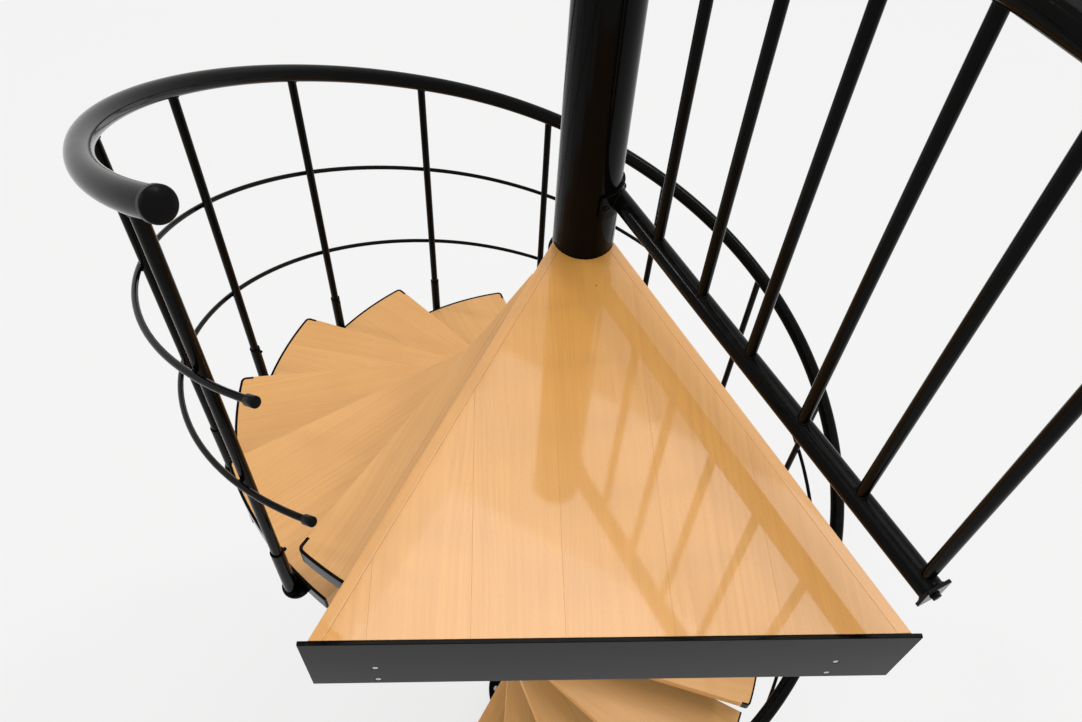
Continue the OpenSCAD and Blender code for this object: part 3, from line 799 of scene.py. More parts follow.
def finish(name):
    """The finish of that name, made when it is first asked for."""
    if name in bpy.data.materials:
        return bpy.data.materials[name]
    c = scene().stair_finishes
    makers = {
        "black_gloss_paint": lambda: steel_paint(name, c.paint, c.paint_dust, c.paint_gloss),
        "black_cap_plastic": lambda: end_plastic(name, c.cap),
        "zinc_plated_steel": lambda: plated_steel(name, c.zinc),
        "beech_treads": lambda: timber(
            name, c.tread_light, c.tread_dark, stave=0.098, roughness=0.42, lacquer=0.12,
            ring_depth=0.05),
        "lacquered_landing": lambda: timber(
            name, c.landing_light, c.landing_dark, stave=1.0, roughness=0.34, lacquer=0.85,
            ring_depth=0.035),
        "lacquered_strips": lambda: timber(
            name, c.strip_light, c.strip_dark, stave=1.0, roughness=0.34, lacquer=0.85,
            ring_depth=0.06),
    }
    return makers[name]()


class TreadPlan:
    """Angles and places that every tread is drawn from. Its front edge runs along +X."""

    def __init__(self):
        s = scene().tread_sizes
        self.nose_angle = asin(s.nose_setback / s.radius)
        self.rear_rim_angle = s.step_turn - self.nose_angle + s.overlap / s.radius
        self.rear_angle = self.rear_rim_angle - asin(s.rear_setback / s.radius)
        self.bend_y = s.bend_radius - s.nose_setback
        self.bend_x = sqrt((s.radius - s.bend_radius) ** 2 - self.bend_y ** 2)
        self.bend_angle = atan2(self.bend_y, self.bend_x)
        self.collar_inner = scene().pole_sizes.radius + FIT
        self.collar_middle = self.collar_inner + s.collar / 2
        self.collar_outer = self.collar_inner + s.collar
        self.sheet_foot = -s.board - s.sheet
        self.collar_foot = self.sheet_foot - s.collar_drop

    def wedge(self, radius, front, rear, hole, corner=()):
        """The outline between front edge, rim, rear edge and a round cut for the pole.

        The rim starts on the line y = -front, or where the points of corner end.
        """
        first = atan2(corner[-1][1], corner[-1][0]) if corner else asin(-front / radius)
        rim = arc((0, 0), radius, first, self.rear_angle + asin(rear / radius), RIM_STEP)
        rear_at_axis = (0.0, rear / cos(self.rear_angle))
        cut = arc((0, 0), hole, pi / 2, -pi / 2, AXIS_CUT_STEP)
        return [(0.0, -front), *corner, *rim, rear_at_axis, *cut]

    def collar(self, low, high):
        """The section of a collar round the pole, with its outer edges broken."""
        inner, outer = self.collar_inner, self.collar_outer
        return [(inner, low), (outer - COLLAR_EDGE, low), (outer, low + COLLAR_EDGE),
                (outer, high - COLLAR_EDGE), (outer - COLLAR_EDGE, high), (inner, high)]


def timber_hole():
    """Radius of the cut that the timber leaves for the pole."""
    return scene().pole_sizes.radius + scene().tread_sizes.timber_gap


def tread_place(k):
    """Where tread k stands, its top at Z and its front edge along its own X."""
    s = scene().tread_sizes
    turned = LANDING_TURN - s.first_turn - (k - 1) * s.step_turn
    return shift(0, 0, LANDING_TOP - k * s.rise) @ spin(turned, "Z")


class WindingRail:
    """A rail that climbs along the line of the treads' front corners."""

    def __init__(self, radius, up, top_turn):
        s = scene().tread_sizes
        r = scene().railing_sizes
        self.radius = radius
        self.up = up
        self.top_corner = LANDING_TURN - s.first_turn - TreadPlan().nose_angle
        self.bottom_corner = self.top_corner - (TREADS - 1) * s.step_turn
        self.lower_end = self.bottom_corner - r.lower_end
        self.upper_end = self.top_corner + top_turn
        self.lift_start = self.top_corner - r.lift_from * s.step_turn
        self.lift_turn = (r.lift_from - r.lift_to) * s.step_turn

    def share(self, a):
        """How much of the rise toward the landing is done there, from 0 to 1."""
        return min(1.0, max(0.0, (a - self.lift_start) / self.lift_turn))

    def height(self, a):
        s = scene().tread_sizes
        done = self.share(a)
        straight = LANDING_TOP - s.rise + (a - self.top_corner) / s.step_turn * s.rise + self.up
        return straight + scene().railing_sizes.lift * done ** 2 * (3 - 2 * done)

    def slope(self, a):
        s = scene().tread_sizes
        done = self.share(a)
        lift = scene().railing_sizes.lift * 6 * done * (1 - done) / self.lift_turn
        return atan((s.rise / s.step_turn + lift) / self.radius)

    def place(self, a):
        """A place on the rail, with Z along it and up the slope."""
        where = shift(self.radius * cos(a), self.radius * sin(a), self.height(a))
        return where @ spin(a + pi / 2, "Z") @ spin(pi / 2 - self.slope(a), "Y")

    def ends(self):
        """The places of both ends, with Z pointing out of the rail."""
        return self.place(self.upper_end), self.place(self.lower_end) @ spin(pi, "X")

    def run(self, step):
        first, last = self.lower_end, self.upper_end
        count = ceil(abs(last - first) / step)
        return [self.place(first + (last - first) * i / count) for i in range(count + 1)]


def baluster_circle():
    r = scene().railing_sizes
    return scene().tread_sizes.radius + r.sleeve_gap + r.sleeve + FIT + r.baluster


def mid_rail_circle():
    r = scene().railing_sizes
    return baluster_circle() + r.baluster + FIT + r.mid_rail


def handrail_path():
    r = scene().railing_sizes
    return WindingRail(baluster_circle(), r.handrail_up, r.handrail_end)


def mid_rail_paths():
    r = scene().railing_sizes
    return {"high": WindingRail(mid_rail_circle(), r.mid_rail_high, r.high_end),
            "low": WindingRail(mid_rail_circle(), r.mid_rail_low, r.low_end)}


def baluster_corner(k):
    """Turn from tread k's own X axis to its baluster."""
    r = scene().railing_sizes
    turned = r.top_baluster_turn if k == TOP_BALUSTER else r.baluster_turn
    return turned - TreadPlan().nose_angle


def baluster_turn(k):
    """The direction in which tread k's baluster stands."""
    s = scene().tread_sizes
    return LANDING_TURN - s.first_turn - (k - 1) * s.step_turn + baluster_corner(k)


def guard_turned():
    """X along the guard, from the pole's axis."""
    return spin(LANDING_TURN + scene().guard_sizes.turn, "Z")


def guard_place():
    """The guard's own line, which passes beside the axis."""
    return guard_turned() @ shift(0, scene().guard_sizes.offset, 0)


def guard_rails():
    """Name, radius and height of the guard's two rails."""
    g = scene().guard_sizes
    return ("bottom", g.low_radius, g.low_height), ("top", g.top_radius, g.top_height)


def screw(shell, place, head, height, sides=24):
    """A round-headed screw with a six-sided socket, its head standing along Z."""
    socket = head * SCREW_SOCKET
    shell.turned([(head * 0.94, -height * 0.4), (head, 0.0), (head, height * 0.35),
                  (head * 0.86, height * 0.78), (head * 0.62, height * 0.97),
                  (socket * 1.18, height)], sides, place=place)
    shell.turned([(socket * 1.16, height), (socket, height * 0.9), (socket, height * 0.25),
                  (0.0, height * 0.22)], sides, corners=6,
                 place=place @ shift(0, 0, height * 0.012))


def bolt(shell, place, shank, length_below, stub):
    """A six-sided bolt head on its washer, with the shank below and a stub of thread above."""
    lift = shank * 0.42
    shell.turned([(shank, 0.0), (shank * 2.1, 0.0), (shank * 2.14, lift * 0.3),
                  (shank * 2.1, lift), (shank, lift)], 32, looped=True, place=place)
    head = shank * 1.85
    high = lift + shank * 1.35
    shell.turned([(0.0, lift), (head, lift), (head, high - head * 0.10), (head * 0.88, high),
                  (0.0, high)], 36, place=place, corners=6)
    thread = [(0.0, high)]
    for i in range(int(stub / THREAD_PITCH)):
        z = high + i * THREAD_PITCH
        thread += [(shank, z), (shank * 0.86, z + THREAD_PITCH / 2)]
    thread += [(shank * 0.80, high + stub), (0.0, high + stub)]
    shell.turned(thread, 20, place=place)
    shell.turned([(0.0, -length_below), (shank, -length_below), (shank, lift), (0.0, lift)], 20,
                 place=place)


def ring_path(radius, height, spacing, place=Matrix()):
    """Points for a weld round the axis."""
    count = max(8, 2 * round(pi * radius / spacing))
    return [place @ Vector((radius * cos(a), radius * sin(a), height)) for a in turns(count)]


def line_path(first, last, spacing, place=Matrix()):
    """Points for a straight weld between two corners."""
    first, last = Vector(first), Vector(last)
    count = max(2, round((last - first).length / spacing))
    return [place @ first.lerp(last, i / count) for i in range(count + 1)]


class STAIR_OT_pole(Operator):
    """Builds the pole's tube and the domed cap on its top."""

    bl_idname = "stair.pole"
    bl_label = "Pole"

    def execute(self, context):
        s = context.scene.pole_sizes
        tube = Shell()
        inner = s.radius - s.wall
        tube.turned([(inner, POLE_FOOT), (s.radius - FINE_EDGE, POLE_FOOT),
                     (s.radius, POLE_FOOT + FINE_EDGE), (s.radius, POLE_TOP - FINE_EDGE),
                     (s.radius - FINE_EDGE, POLE_TOP), (inner, POLE_TOP)], 128, looped=True)
        tube.object("centre_pole_tube", PAINTED, ["centre_pole"])

        cap = Shell()
        ball = ball_radius(s.cap_radius, CAP_TOP - POLE_TOP - s.cap_edge)
        profile = [(0.0, POLE_TOP), (s.cap_radius - POLE_CAP_EDGE, POLE_TOP),
                   (s.cap_radius, POLE_TOP + POLE_CAP_EDGE)]
        cap.turned(profile + dome(s.cap_radius, ball, CAP_TOP, quarter(16)), 96)
        cap.object("pole_cap_turned", PAINTED, ["pole_cap"], crease=60)
        return {"FINISHED"}


class STAIR_OT_base(Operator):
    """Builds the base plate with its welded ribs, and the bolts that hold it down."""

    bl_idname = "stair.base"
    bl_label = "Base"

    def execute(self, context):
        s = context.scene.pole_sizes
        top = s.base_thickness
        step = 2 * pi / s.anchors
        spots = [(s.anchor_circle * cos(i * step), s.anchor_circle * sin(i * step))
                 for i in range(s.anchors)]
        plate = Shell()
        plate.plate(circle(s.base_radius, 160), 0.0, top, PLATE_EDGE,
                    holes=[circle(s.anchor_hole, 32, spot) for spot in spots])
        inner = s.radius + FIT
        end = inner + s.rib_length
        rib = [(inner, top - SUNK), (end, top - SUNK), (end, top + s.rib_toe),
               (inner + s.rib_crown, RIB_TOP), (inner, RIB_TOP)]
        half = s.rib_thickness / 2
        for i in range(s.anchors):
            turned = spin((i + 0.5) * step, "Z")
            plate.plate(rib, -half, half, FINE_EDGE, place=turned @ spin(pi / 2, "X"))
            for y in (-half, half):
                for first, last in (((inner + 0.002, y, top), (end - 0.002, y, top)),
                                    ((inner, y, top + 0.004), (inner, y, RIB_TOP - 0.002))):
                    plate.bead(line_path(first, last, RIPPLE, turned), WELD)
        plate.bead(ring_path(inner, top, LONG_RIPPLE), RING_WELD, closed=True)
        plate.object("base_plate_welded", PAINTED, ["base_plate"], even=True)

        bolts = Shell()
        for x, y in spots:
            bolt(bolts, shift(x, y, top), s.anchor_hole - BOLT_PLAY, top - SUNK, stub=0.012)
        bolts.object("base_anchor_bolts", PLATED)
        return {"FINISHED"}


class STAIR_OT_trays(Operator):
    """Builds the steel trays: band, bottom sheet, lips, collar, bracket and welds."""

    bl_idname = "stair.trays"
    bl_label = "Tread trays"

    def execute(self, context):
        s = context.scene.tread_sizes
        plan = TreadPlan()
        for k in range(1, TREADS + 1):
            tray = Shell()
            self.band(s, plan, tray, tread_place(k))
            self.sheet(s, plan, tray, tread_place(k))
            self.bracket(s, plan, tray, tread_place(k))
            tray.object(f"tread_tray_{k:02d}_welded", PAINTED, [f"tread_tray_{k:02d}"], even=True)
        return {"FINISHED"}

    def band(self, s, plan, tray, here):
        """The band round the rim, bent round the front corner."""
        bend = (plan.bend_x, plan.bend_y)
        end = plan.bend_x - s.bend_length
        outer = [(end, -s.nose_setback)]
        outer += arc(bend, s.bend_radius, -pi / 2, plan.bend_angle, BEND_STEP)
        outer += arc((0, 0), s.radius, plan.bend_angle, plan.rear_rim_angle, RIM_STEP)
        back = arc((0, 0), s.radius - s.band, plan.rear_rim_angle, plan.bend_angle, RIM_STEP)
        back += arc(bend, s.bend_radius - s.band, plan.bend_angle, -pi / 2, BEND_STEP)
        back += [(end, s.band - s.nose_setback)]
        tray.plate(outer + back, plan.sheet_foot, 0.0, BAND_EDGE, place=here, steps=2)

    def sheet(self, s, plan, tray, here):
        """The bottom sheet, the collar round the pole and the lips below."""
        front = s.nose_setback - s.nose_overhang
        rear = s.rear_setback - s.sheet_inset
        tray.plate(plan.wedge(s.radius - s.band / 2, front, rear, plan.collar_middle),
                   plan.sheet_foot, -s.board, SHEET_EDGE, place=here, steps=1)
        tray.turned(plan.collar(plan.collar_foot, -s.board), 72, looped=True, place=here)
        first, last = plan.collar_middle, s.radius - s.lip_end_gap
        for turned, y in ((Matrix(), -front), (spin(plan.rear_angle, "Z"), rear - s.lip)):
            bar = [(first, y), (last, y), (last, y + s.lip), (first, y + s.lip)]
            tray.plate(bar, plan.sheet_foot - s.lip_depth, plan.sheet_foot + s.sheet / 2, LIP_EDGE,
                       place=here @ turned, steps=2)

    def bracket(self, s, plan, tray, here):
        """The bracket below the sheet, its stitches, and the beads round and along the collar."""
        foot, low = plan.sheet_foot, plan.collar_foot
        middle = here @ spin(plan.rear_angle / 2, "Z")
        web = [(plan.collar_middle, foot + s.sheet / 2), (s.bracket_reach, foot + s.sheet / 2),
               (s.bracket_reach, foot - s.bracket_tip), (plan.collar_middle, low + s.collar / 2)]
        half = s.bracket / 2
        tray.plate(web, -half, half, LIP_EDGE, place=middle @ spin(pi / 2, "X"), steps=2)
        for y in (-half, half):
            for x in STITCHES:
                stitch = line_path((x, y, foot), (x + STITCH, y, foot), RIPPLE, middle)
                tray.bead(stitch, TRAY_WELD, sides=6)
            x = plan.collar_outer
            root = line_path((x, y, low + 0.008), (x, y, foot - 0.002), LONG_RIPPLE, middle)
            tray.bead(root, TRAY_WELD, sides=6)
        ring = ring_path(plan.collar_outer, foot, COLLAR_RIPPLE, here)
        tray.bead(ring, TRAY_WELD, closed=True, sides=6)


class STAIR_OT_tray_screws(Operator):
    """Builds the screws that hold each tread's timber from below."""

    bl_idname = "stair.tray_screws"
    bl_label = "Tray screws"

    def execute(self, context):
        plan = TreadPlan()
        screws = Shell()
        for k in range(1, TREADS + 1):
            for radius in TRAY_SCREW_RADII:
                for angle in (-TRAY_SCREW_FRONT / radius,
                              plan.rear_angle + TRAY_SCREW_REAR / radius):
                    spot = shift(radius * cos(angle), radius * sin(angle), plan.sheet_foot)
                    screw(screws, tread_place(k) @ spot @ spin(pi, "X"), *TRAY_SCREW_HEAD,
                          sides=18)
        screws.object("tread_tray_screws", PLATED)
        return {"FINISHED"}


class STAIR_OT_boards(Operator):
    """Builds the timber of the treads, with a rounded nose and grain along the tread."""

    bl_idname = "stair.boards"
    bl_label = "Tread boards"

    def execute(self, context):
        s = context.scene.tread_sizes
        plan = TreadPlan()
        rim = s.radius - s.band - FIT
        inner_bend = s.bend_radius - s.band - 2 * FIT
        stop = plan.bend_x - s.bend_length - FIT
        corner = [(stop, -s.nose_setback), (stop, s.band + FIT - s.nose_setback)]
        corner += arc((plan.bend_x, plan.bend_y), inner_bend, -pi / 2, plan.bend_angle, BEND_STEP)
        outline = plan.wedge(rim, s.nose_setback, s.rear_setback - FIT, timber_hole(), corner)

        def ease(x, y):
            on_nose = y < NEAR - s.nose_setback and x < stop - NEAR
            return s.nose_round if on_nose else s.edge_round

        for k in range(1, TREADS + 1):
            board = Shell()
            along = shift(BOARD_STRIDE * k, BOARD_DRIFT * k, 0.0) @ spin(-plan.rear_angle / 2, "Z")
            board.plate(outline, -s.board, 0.0, ease, place=tread_place(k), grain=along,
                        tone=BOARD_TONE * k, low_ease=s.edge_round)
            board.object(f"tread_board_{k:02d}_timber", TREAD_WOOD, [f"tread_board_{k:02d}"],
                         even=True)
        return {"FINISHED"}


class LandingPlan:
    """The lines that the landing's pieces are drawn from."""

    def __init__(self):
        s = scene().landing_sizes
        self.along = Vector((sin(s.half_angle), -cos(s.half_angle)))
        self.out = Vector((cos(s.half_angle), sin(s.half_angle)))
        self.end = -s.depth

    def on_line(self, setback, distance):
        """The point that far along the right edge line of that setback."""
        return self.along * distance + self.out * setback

    def at_circle(self, setback, radius):
        return self.on_line(setback, sqrt(radius ** 2 - setback ** 2))

    def at_end(self, setback, y):
        return self.on_line(setback, (self.out.y * setback - y) / -self.along.y)

    def half_width(self, setback):
        return self.at_end(setback, self.end).x

    def wedge(self, setback, radius):
        """Both edge lines at one setback, the straight end, and a round cut for the pole."""
        start = self.at_circle(setback, radius)
        first = atan2(start.y, start.x)
        cut = arc((0, 0), radius, first, -pi - first, CUT_STEP)
        corner = self.at_end(setback, self.end)
        return cut + [(-corner.x, corner.y), (corner.x, corner.y)]


class STAIR_OT_landing_frame(Operator):
    """Builds the steel frame and the collar that carry the landing."""

    bl_idname = "stair.landing_frame"
    bl_label = "Landing frame"

    def execute(self, context):
        s = context.scene.landing_sizes
        plan, tread = LandingPlan(), TreadPlan()
        low, high = BOARD_FOOT - s.bar_height, BOARD_FOOT
        outer = s.edge_setback - s.frame_inset
        inner = outer - s.bar_width
        near = tread.collar_outer - 0.002
        start = plan.at_circle(inner, near)
        open_end = plan.end + s.bar_width
        corner = plan.at_end(inner, open_end)
        half_bar = s.bar_width / 2
        hole = arc((0, 0), near, -acos(half_bar / near), atan2(start.y, start.x), radians(3))
        hole += [(corner.x, corner.y), (half_bar, open_end)]
        carrier = Shell()
        carrier.plate(plan.wedge(outer, tread.collar_middle), low, high, FRAME_EDGE,
                      holes=[[(side * x, y) for x, y in hole] for side in (-1, 1)])
        carrier.turned(tread.collar(low - s.collar_drop, high), 96, looped=True)
        carrier.bead(ring_path(tread.collar_outer, low, FRAME_RIPPLE), RING_WELD, closed=True)
        reach = plan.half_width(outer) - 0.004
        for z in (low, high - 0.003):
            ends = (-reach, plan.end, z), (reach, plan.end, z)
            carrier.bead(line_path(*ends, FRAME_RIPPLE), TRAY_WELD)
        carrier.object("landing_frame_welded", PAINTED, ["landing_frame"], even=True)
        return {"FINISHED"}


class STAIR_OT_landing_deck(Operator):
    """Builds the landing's planks, which run away from the upper floor."""

    bl_idname = "stair.landing_deck"
    bl_label = "Landing deck"

    def execute(self, context):
        s = context.scene.landing_sizes
        plan = LandingPlan()
        outline = tidy(plan.wedge(s.edge_setback - s.strip, timber_hole()))
        beyond = plan.half_width(s.edge_setback) + 1
        widest = plan.half_width(0)
        edges = (-beyond,) + PLANK_SEAMS + (beyond,)
        deck = Shell()
        for i, (first, last) in enumerate(zip(edges, edges[1:])):
            left, right = first + s.plank_gap / 2, last - s.plank_gap / 2
            plank = clip(clip(outline, left, -1), right, 1)
            middle = (max(left, -widest) + min(right, widest)) / 2
            grain = (shift(PLANK_STRIDE * i, PLANK_DRIFT, 0.0) @ spin(pi / 2, "Z")
                     @ shift(-middle, 0.0, -LANDING_TOP))
            deck.plate(plank, BOARD_FOOT, LANDING_TOP, s.plank_round, grain=grain,
                       tone=FIRST_PLANK_TONE + PLANK_TONE * i, steps=2)
        deck.object("landing_deck_planks", DECK_WOOD, ["landing_deck"], even=True)
        return {"FINISHED"}


class STAIR_OT_landing_strips(Operator):
    """Builds the solid strips along the landing's two edges."""

    bl_idname = "stair.landing_strips"
    bl_label = "Landing strips"

    def execute(self, context):
        s = context.scene.landing_sizes
        plan = LandingPlan()
        inner = s.edge_setback - s.strip + FIT
        starts = [plan.at_circle(setback, timber_hole()) for setback in (s.edge_setback, inner)]
        first, last = (atan2(point.y, point.x) for point in starts)
        ends = [plan.at_end(setback, plan.end) for setback in (inner, s.edge_setback)]
        right = arc((0, 0), timber_hole(), first, last, CUT_STEP) + [(p.x, p.y) for p in ends]
        strips = Shell()
        for side in (-1, 1):
            grain = (shift(STRIP_STRIDE * side, STRIP_DRIFT, 0.0)
                     @ spin(side * -s.half_angle + pi / 2, "Z") @ shift(0.0, 0.0, -LANDING_TOP))
            strips.plate([(side * x, y) for x, y in right], BOARD_FOOT, LANDING_TOP,
                         self.ease(s, plan, side), grain=grain,
                         tone=MIDDLE_STRIP_TONE + STRIP_TONE * side, low_ease=FINE_EDGE)
        strips.object("landing_edge_strips", STRIP_WOOD, ["landing_lipping"], even=True)
        return {"FINISHED"}

    def ease(self, s, plan, side):
        """The outer edge is rounded and the joint with the planks stays tight."""
        def at(x, y):
            setback = side * x * plan.out.x + y * plan.out.y
            return s.strip_round if setback > s.edge_setback - NEAR else s.plank_round

        return at


class STAIR_OT_landing_plate(Operator):
    """Builds the steel plate at the landing's end and its fixing bolts."""

    bl_idname = "stair.landing_plate"
    bl_label = "Landing end plate"

    def execute(self, context):
        s = context.scene.landing_sizes
        thickness = PLATE_END - LANDING_END
        foot = shift(0, -LANDING_END, PLATE_FOOT)
        spots = [(side * s.hole_span / 2, up) for side in (-1, 1)
                 for up in (s.hole_up, s.hole_up + s.row_gap)]
        plate = Shell()
        left, right, high = -PLATE_HALF_WIDTH, PLATE_HALF_WIDTH, LANDING_TOP - PLATE_FOOT
        plate.plate([(left, 0), (right, 0), (right, high), (left, high)], 0.0, thickness,
                    PLATE_EDGE, holes=[circle(s.hole, 28, spot) for spot in spots],
                    place=foot @ OUTWARD)
        plate.object("landing_end_plate", PAINTED, ["landing_threshold"], even=True)
        bolts = Shell()
        for x, up in spots:
            bolt(bolts, foot @ INWARD @ shift(x, -up, 0), s.hole - BOLT_PLAY,
                 thickness - 0.0005, stub=0.004)
        bolts.object("landing_plate_bolts", PLATED)
        return {"FINISHED"}


class STAIR_OT_balusters(Operator):
    """Builds the stair's balusters and the welds that join them to the rails."""

    bl_idname = "stair.balusters"
    bl_label = "Balusters"

    def execute(self, context):
        r = context.scene.railing_sizes
        rail = handrail_path()
        rods, welds = Shell(), Shell()
        for k in range(TOP_BALUSTER, TREADS + 1):
            a = baluster_turn(k)
            foot = LANDING_TOP - k * context.scene.tread_sizes.rise - r.sleeve_below
            foot += r.baluster + r.sleeve
            top = rail.place(a).translation
            rods.tube([shift(top.x, top.y, z) for z in (foot, top.z - r.handrail * INTO_RAIL)],
                      r.baluster, BAR_SIDES)
            welds.bead(self.crown(r, rail, a), WELD, closed=True)
            for mid in mid_rail_paths().values():
                self.crossing(r, welds, mid, a)
        rods.object("stair_balusters", PAINTED, ["balusters"])
        welds.object("stair_railing_welds", PAINTED, crease=80)
        return {"FINISHED"}

    def crown(self, r, rail, a):
        """Where a baluster's round meets the underside of the handrail."""
        there = shift(*rail.place(a).translation) @ spin(a, "Z")
        path = []
        for t in turns(BAR_SIDES):
            out, on = r.baluster * cos(t), r.baluster * sin(t)
            z = on * tan(rail.slope(a)) - sqrt(r.handrail ** 2 - out ** 2) / cos(rail.slope(a))
            path.append(there @ Vector((out, on, z)))
        return path

    def crossing(self, r, welds, mid, a):
        """Two short welds where a thin rail crosses a baluster."""
        z = mid.place(a).translation.z
        reach = mid.radius - r.mid_rail - FIT / 2
        for up in (-CROSSING_UP, CROSSING_UP):
            path = []
            for i in range(-2, 3):
                t = a + i * CROSSING_TURN
                path.append(Vector((reach * cos(t), reach * sin(t), z + up + i * CROSSING_CLIMB)))
            welds.bead(path, RING_WELD, sides=7)


class STAIR_OT_sleeves(Operator):
    """Builds the sleeves that hold the balusters' feet, their lugs and clamping screws."""

    bl_idname = "stair.sleeves"
    bl_label = "Baluster sleeves"

    def execute(self, context):
        r = context.scene.railing_sizes
        inner = r.baluster + FIT
        outer = inner + r.sleeve
        foot = outer - r.sleeve_below
        profile = [(outer * sin(a), foot - outer * cos(a)) for a in quarter(8)]
        profile += [(outer, r.sleeve_above - FINE_EDGE), (outer - FINE_EDGE, r.sleeve_above),
                    (inner, r.sleeve_above), (inner, foot), (0.0, foot)]
        sleeves, screws = Shell(), Shell()
        ring = baluster_circle()
        under = TreadPlan().sheet_foot
        for k in range(TOP_BALUSTER, TREADS + 1):
            here = tread_place(k) @ spin(baluster_corner(k), "Z")
            sleeves.turned(profile, 32, place=here @ shift(ring, 0, 0))
            self.lug(context.scene.tread_sizes, r, sleeves, here)
            sleeves.plate(circle(r.foot_plate, 48), under - r.foot_plate_thickness, under,
                          FOOT_EDGE, place=here @ shift(ring - r.foot_plate_inset, 0, 0))
            seam = [Vector((ring + outer * cos(t), outer * sin(t), under)) for t in turns(24)]
            sleeves.bead([here @ point for point in seam], WELD, closed=True)
            self.lug_welds(context.scene.tread_sizes, r, sleeves, here)
            out = shift(ring - outer * 0.97, 0, r.sleeve_above - 0.012) @ spin(-pi / 2, "Y")
            screw(screws, here @ out, *SLEEVE_SCREW_HEAD, sides=18)
        sleeves.object("baluster_foot_sleeves", PAINTED, ["baluster_sleeves"], even=True)
        screws.object("baluster_sleeve_screws", PAINTED)
        return {"FINISHED"}

    def lug(self, s, r, sleeves, here):
        """The lug that joins a sleeve to the band."""
        middle = -(s.board + s.sheet) / 2
        x0, x1 = s.radius - s.band / 2, s.radius + r.sleeve_gap + r.sleeve
        half = r.lug_width / 2
        sleeves.plate([(x0, -half), (x1, -half), (x1, half), (x0, half)],
                      middle - r.lug_height / 2, middle + r.lug_height / 2, FINE_EDGE,
                      place=here, steps=2)

    def lug_welds(self, s, r, sleeves, here):
        middle = -(s.board + s.sheet) / 2
        for y in (-r.lug_width / 2, r.lug_width / 2):
            for x in (s.radius, s.radius + r.sleeve_gap):
                upright = line_path((x, y, middle - r.lug_height / 2),
                                    (x, y, middle + r.lug_height / 2), RIPPLE, here)
                sleeves.bead(upright, LUG_WELD, sides=6)


class STAIR_OT_handrail(Operator):
    """Builds the winding handrail and the domed caps on its ends."""

    bl_idname = "stair.handrail"
    bl_label = "Handrail"

    def execute(self, context):
        r = context.scene.railing_sizes
        path = handrail_path()
        tube = Shell()
        tube.tube(path.run(radians(1.5)), r.handrail, 40)
        tube.object("handrail_tube", PAINTED, ["handrail"])

        outer = r.handrail + r.cap_rim
        bend, lean = 0.003, 0.6
        profile = [(0.0, 0.0), (outer - FINE_EDGE, 0.0), (outer, FINE_EDGE),
                   (outer, r.cap_edge - bend)]
        profile += [(outer - bend * (1 - cos(a)) * lean, r.cap_edge - bend + bend * sin(a))
                    for a in quarter(4)[1:-1]]
        profile += dome(outer - bend * lean, ball_radius(outer, r.cap_dome),
                        r.cap_edge + r.cap_dome, quarter(12)[1:])
        caps = Shell()
        for end in path.ends():
            caps.turned(profile, 48, place=end)
        caps.object("handrail_end_caps", PLASTIC, ["handrail_caps"], crease=50)
        return {"FINISHED"}


class STAIR_OT_mid_rails(Operator):
    """Builds the two thin rails below the handrail and their end caps."""

    bl_idname = "stair.mid_rails"
    bl_label = "Mid rails"

    def execute(self, context):
        r = context.scene.railing_sizes
        outer = r.mid_rail + FIT + r.mid_cap_wall
        start = r.mid_cap_end - r.mid_cap_length
        bend = 0.0022
        profile = [(r.mid_rail + FIT, start), (outer - 0.0006, start), (outer, start + 0.0006),
                   (outer, r.mid_cap_end - bend)]
        profile += [(outer - bend * (1 - cos(a)), r.mid_cap_end - bend * (1 - sin(a)))
                    for a in quarter(4)[1:]]
        profile += [(0.0, r.mid_cap_end)]
        caps = Shell()
        for name, path in mid_rail_paths().items():
            rail = Shell()
            rail.tube(path.run(radians(2)), r.mid_rail, 20)
            rail.object(f"mid_rail_{name}_rod", PAINTED, [f"mid_rail_{name}"])
            for end in path.ends():
                caps.turned(profile, 28, place=end)
        caps.object("mid_rail_end_caps", PLASTIC, ["mid_rail_caps"], crease=50)
        return {"FINISHED"}


class STAIR_OT_guard_rails(Operator):
    """Builds the guard's bottom and top rail, and the welds at their ends."""

    bl_idname = "stair.guard_rails"
    bl_label = "Guard rails"

    def execute(self, context):
        g = context.scene.guard_sizes
        end = g.length - g.end_plate
        start = context.scene.pole_sizes.radius + FIT
        saddle_face = start + g.saddle
        welds = Shell()
        for name, radius, height in guard_rails():
            along = guard_place() @ shift(0, 0, height) @ spin(pi / 2, "Y")
            side = circle(radius, 48)
            rail = Shell()
            rail.rings([
                [along @ Vector((x, y, sqrt(start ** 2 - (g.offset + y) ** 2))) for x, y in side],
                [along @ Vector((x, y, end)) for x, y in side]])
            rail.object(f"guard_{name}_rail_tube", PAINTED, [f"guard_{name}_rail"])
            round_rail = [(radius * cos(t), height + radius * sin(t))
                          for t in turns(2 * round(pi * radius / RAIL_RIPPLE))]
            saddle = [(sqrt(saddle_face ** 2 - (g.offset + y) ** 2), y, z) for y, z in round_rail]
            for path in (saddle, [(end, y, z) for y, z in round_rail]):
                placed = [guard_place() @ Vector(point) for point in path]
                welds.bead(placed, RING_WELD, closed=True)
        welds.object("guard_rail_welds", PAINTED, crease=80)
        return {"FINISHED"}


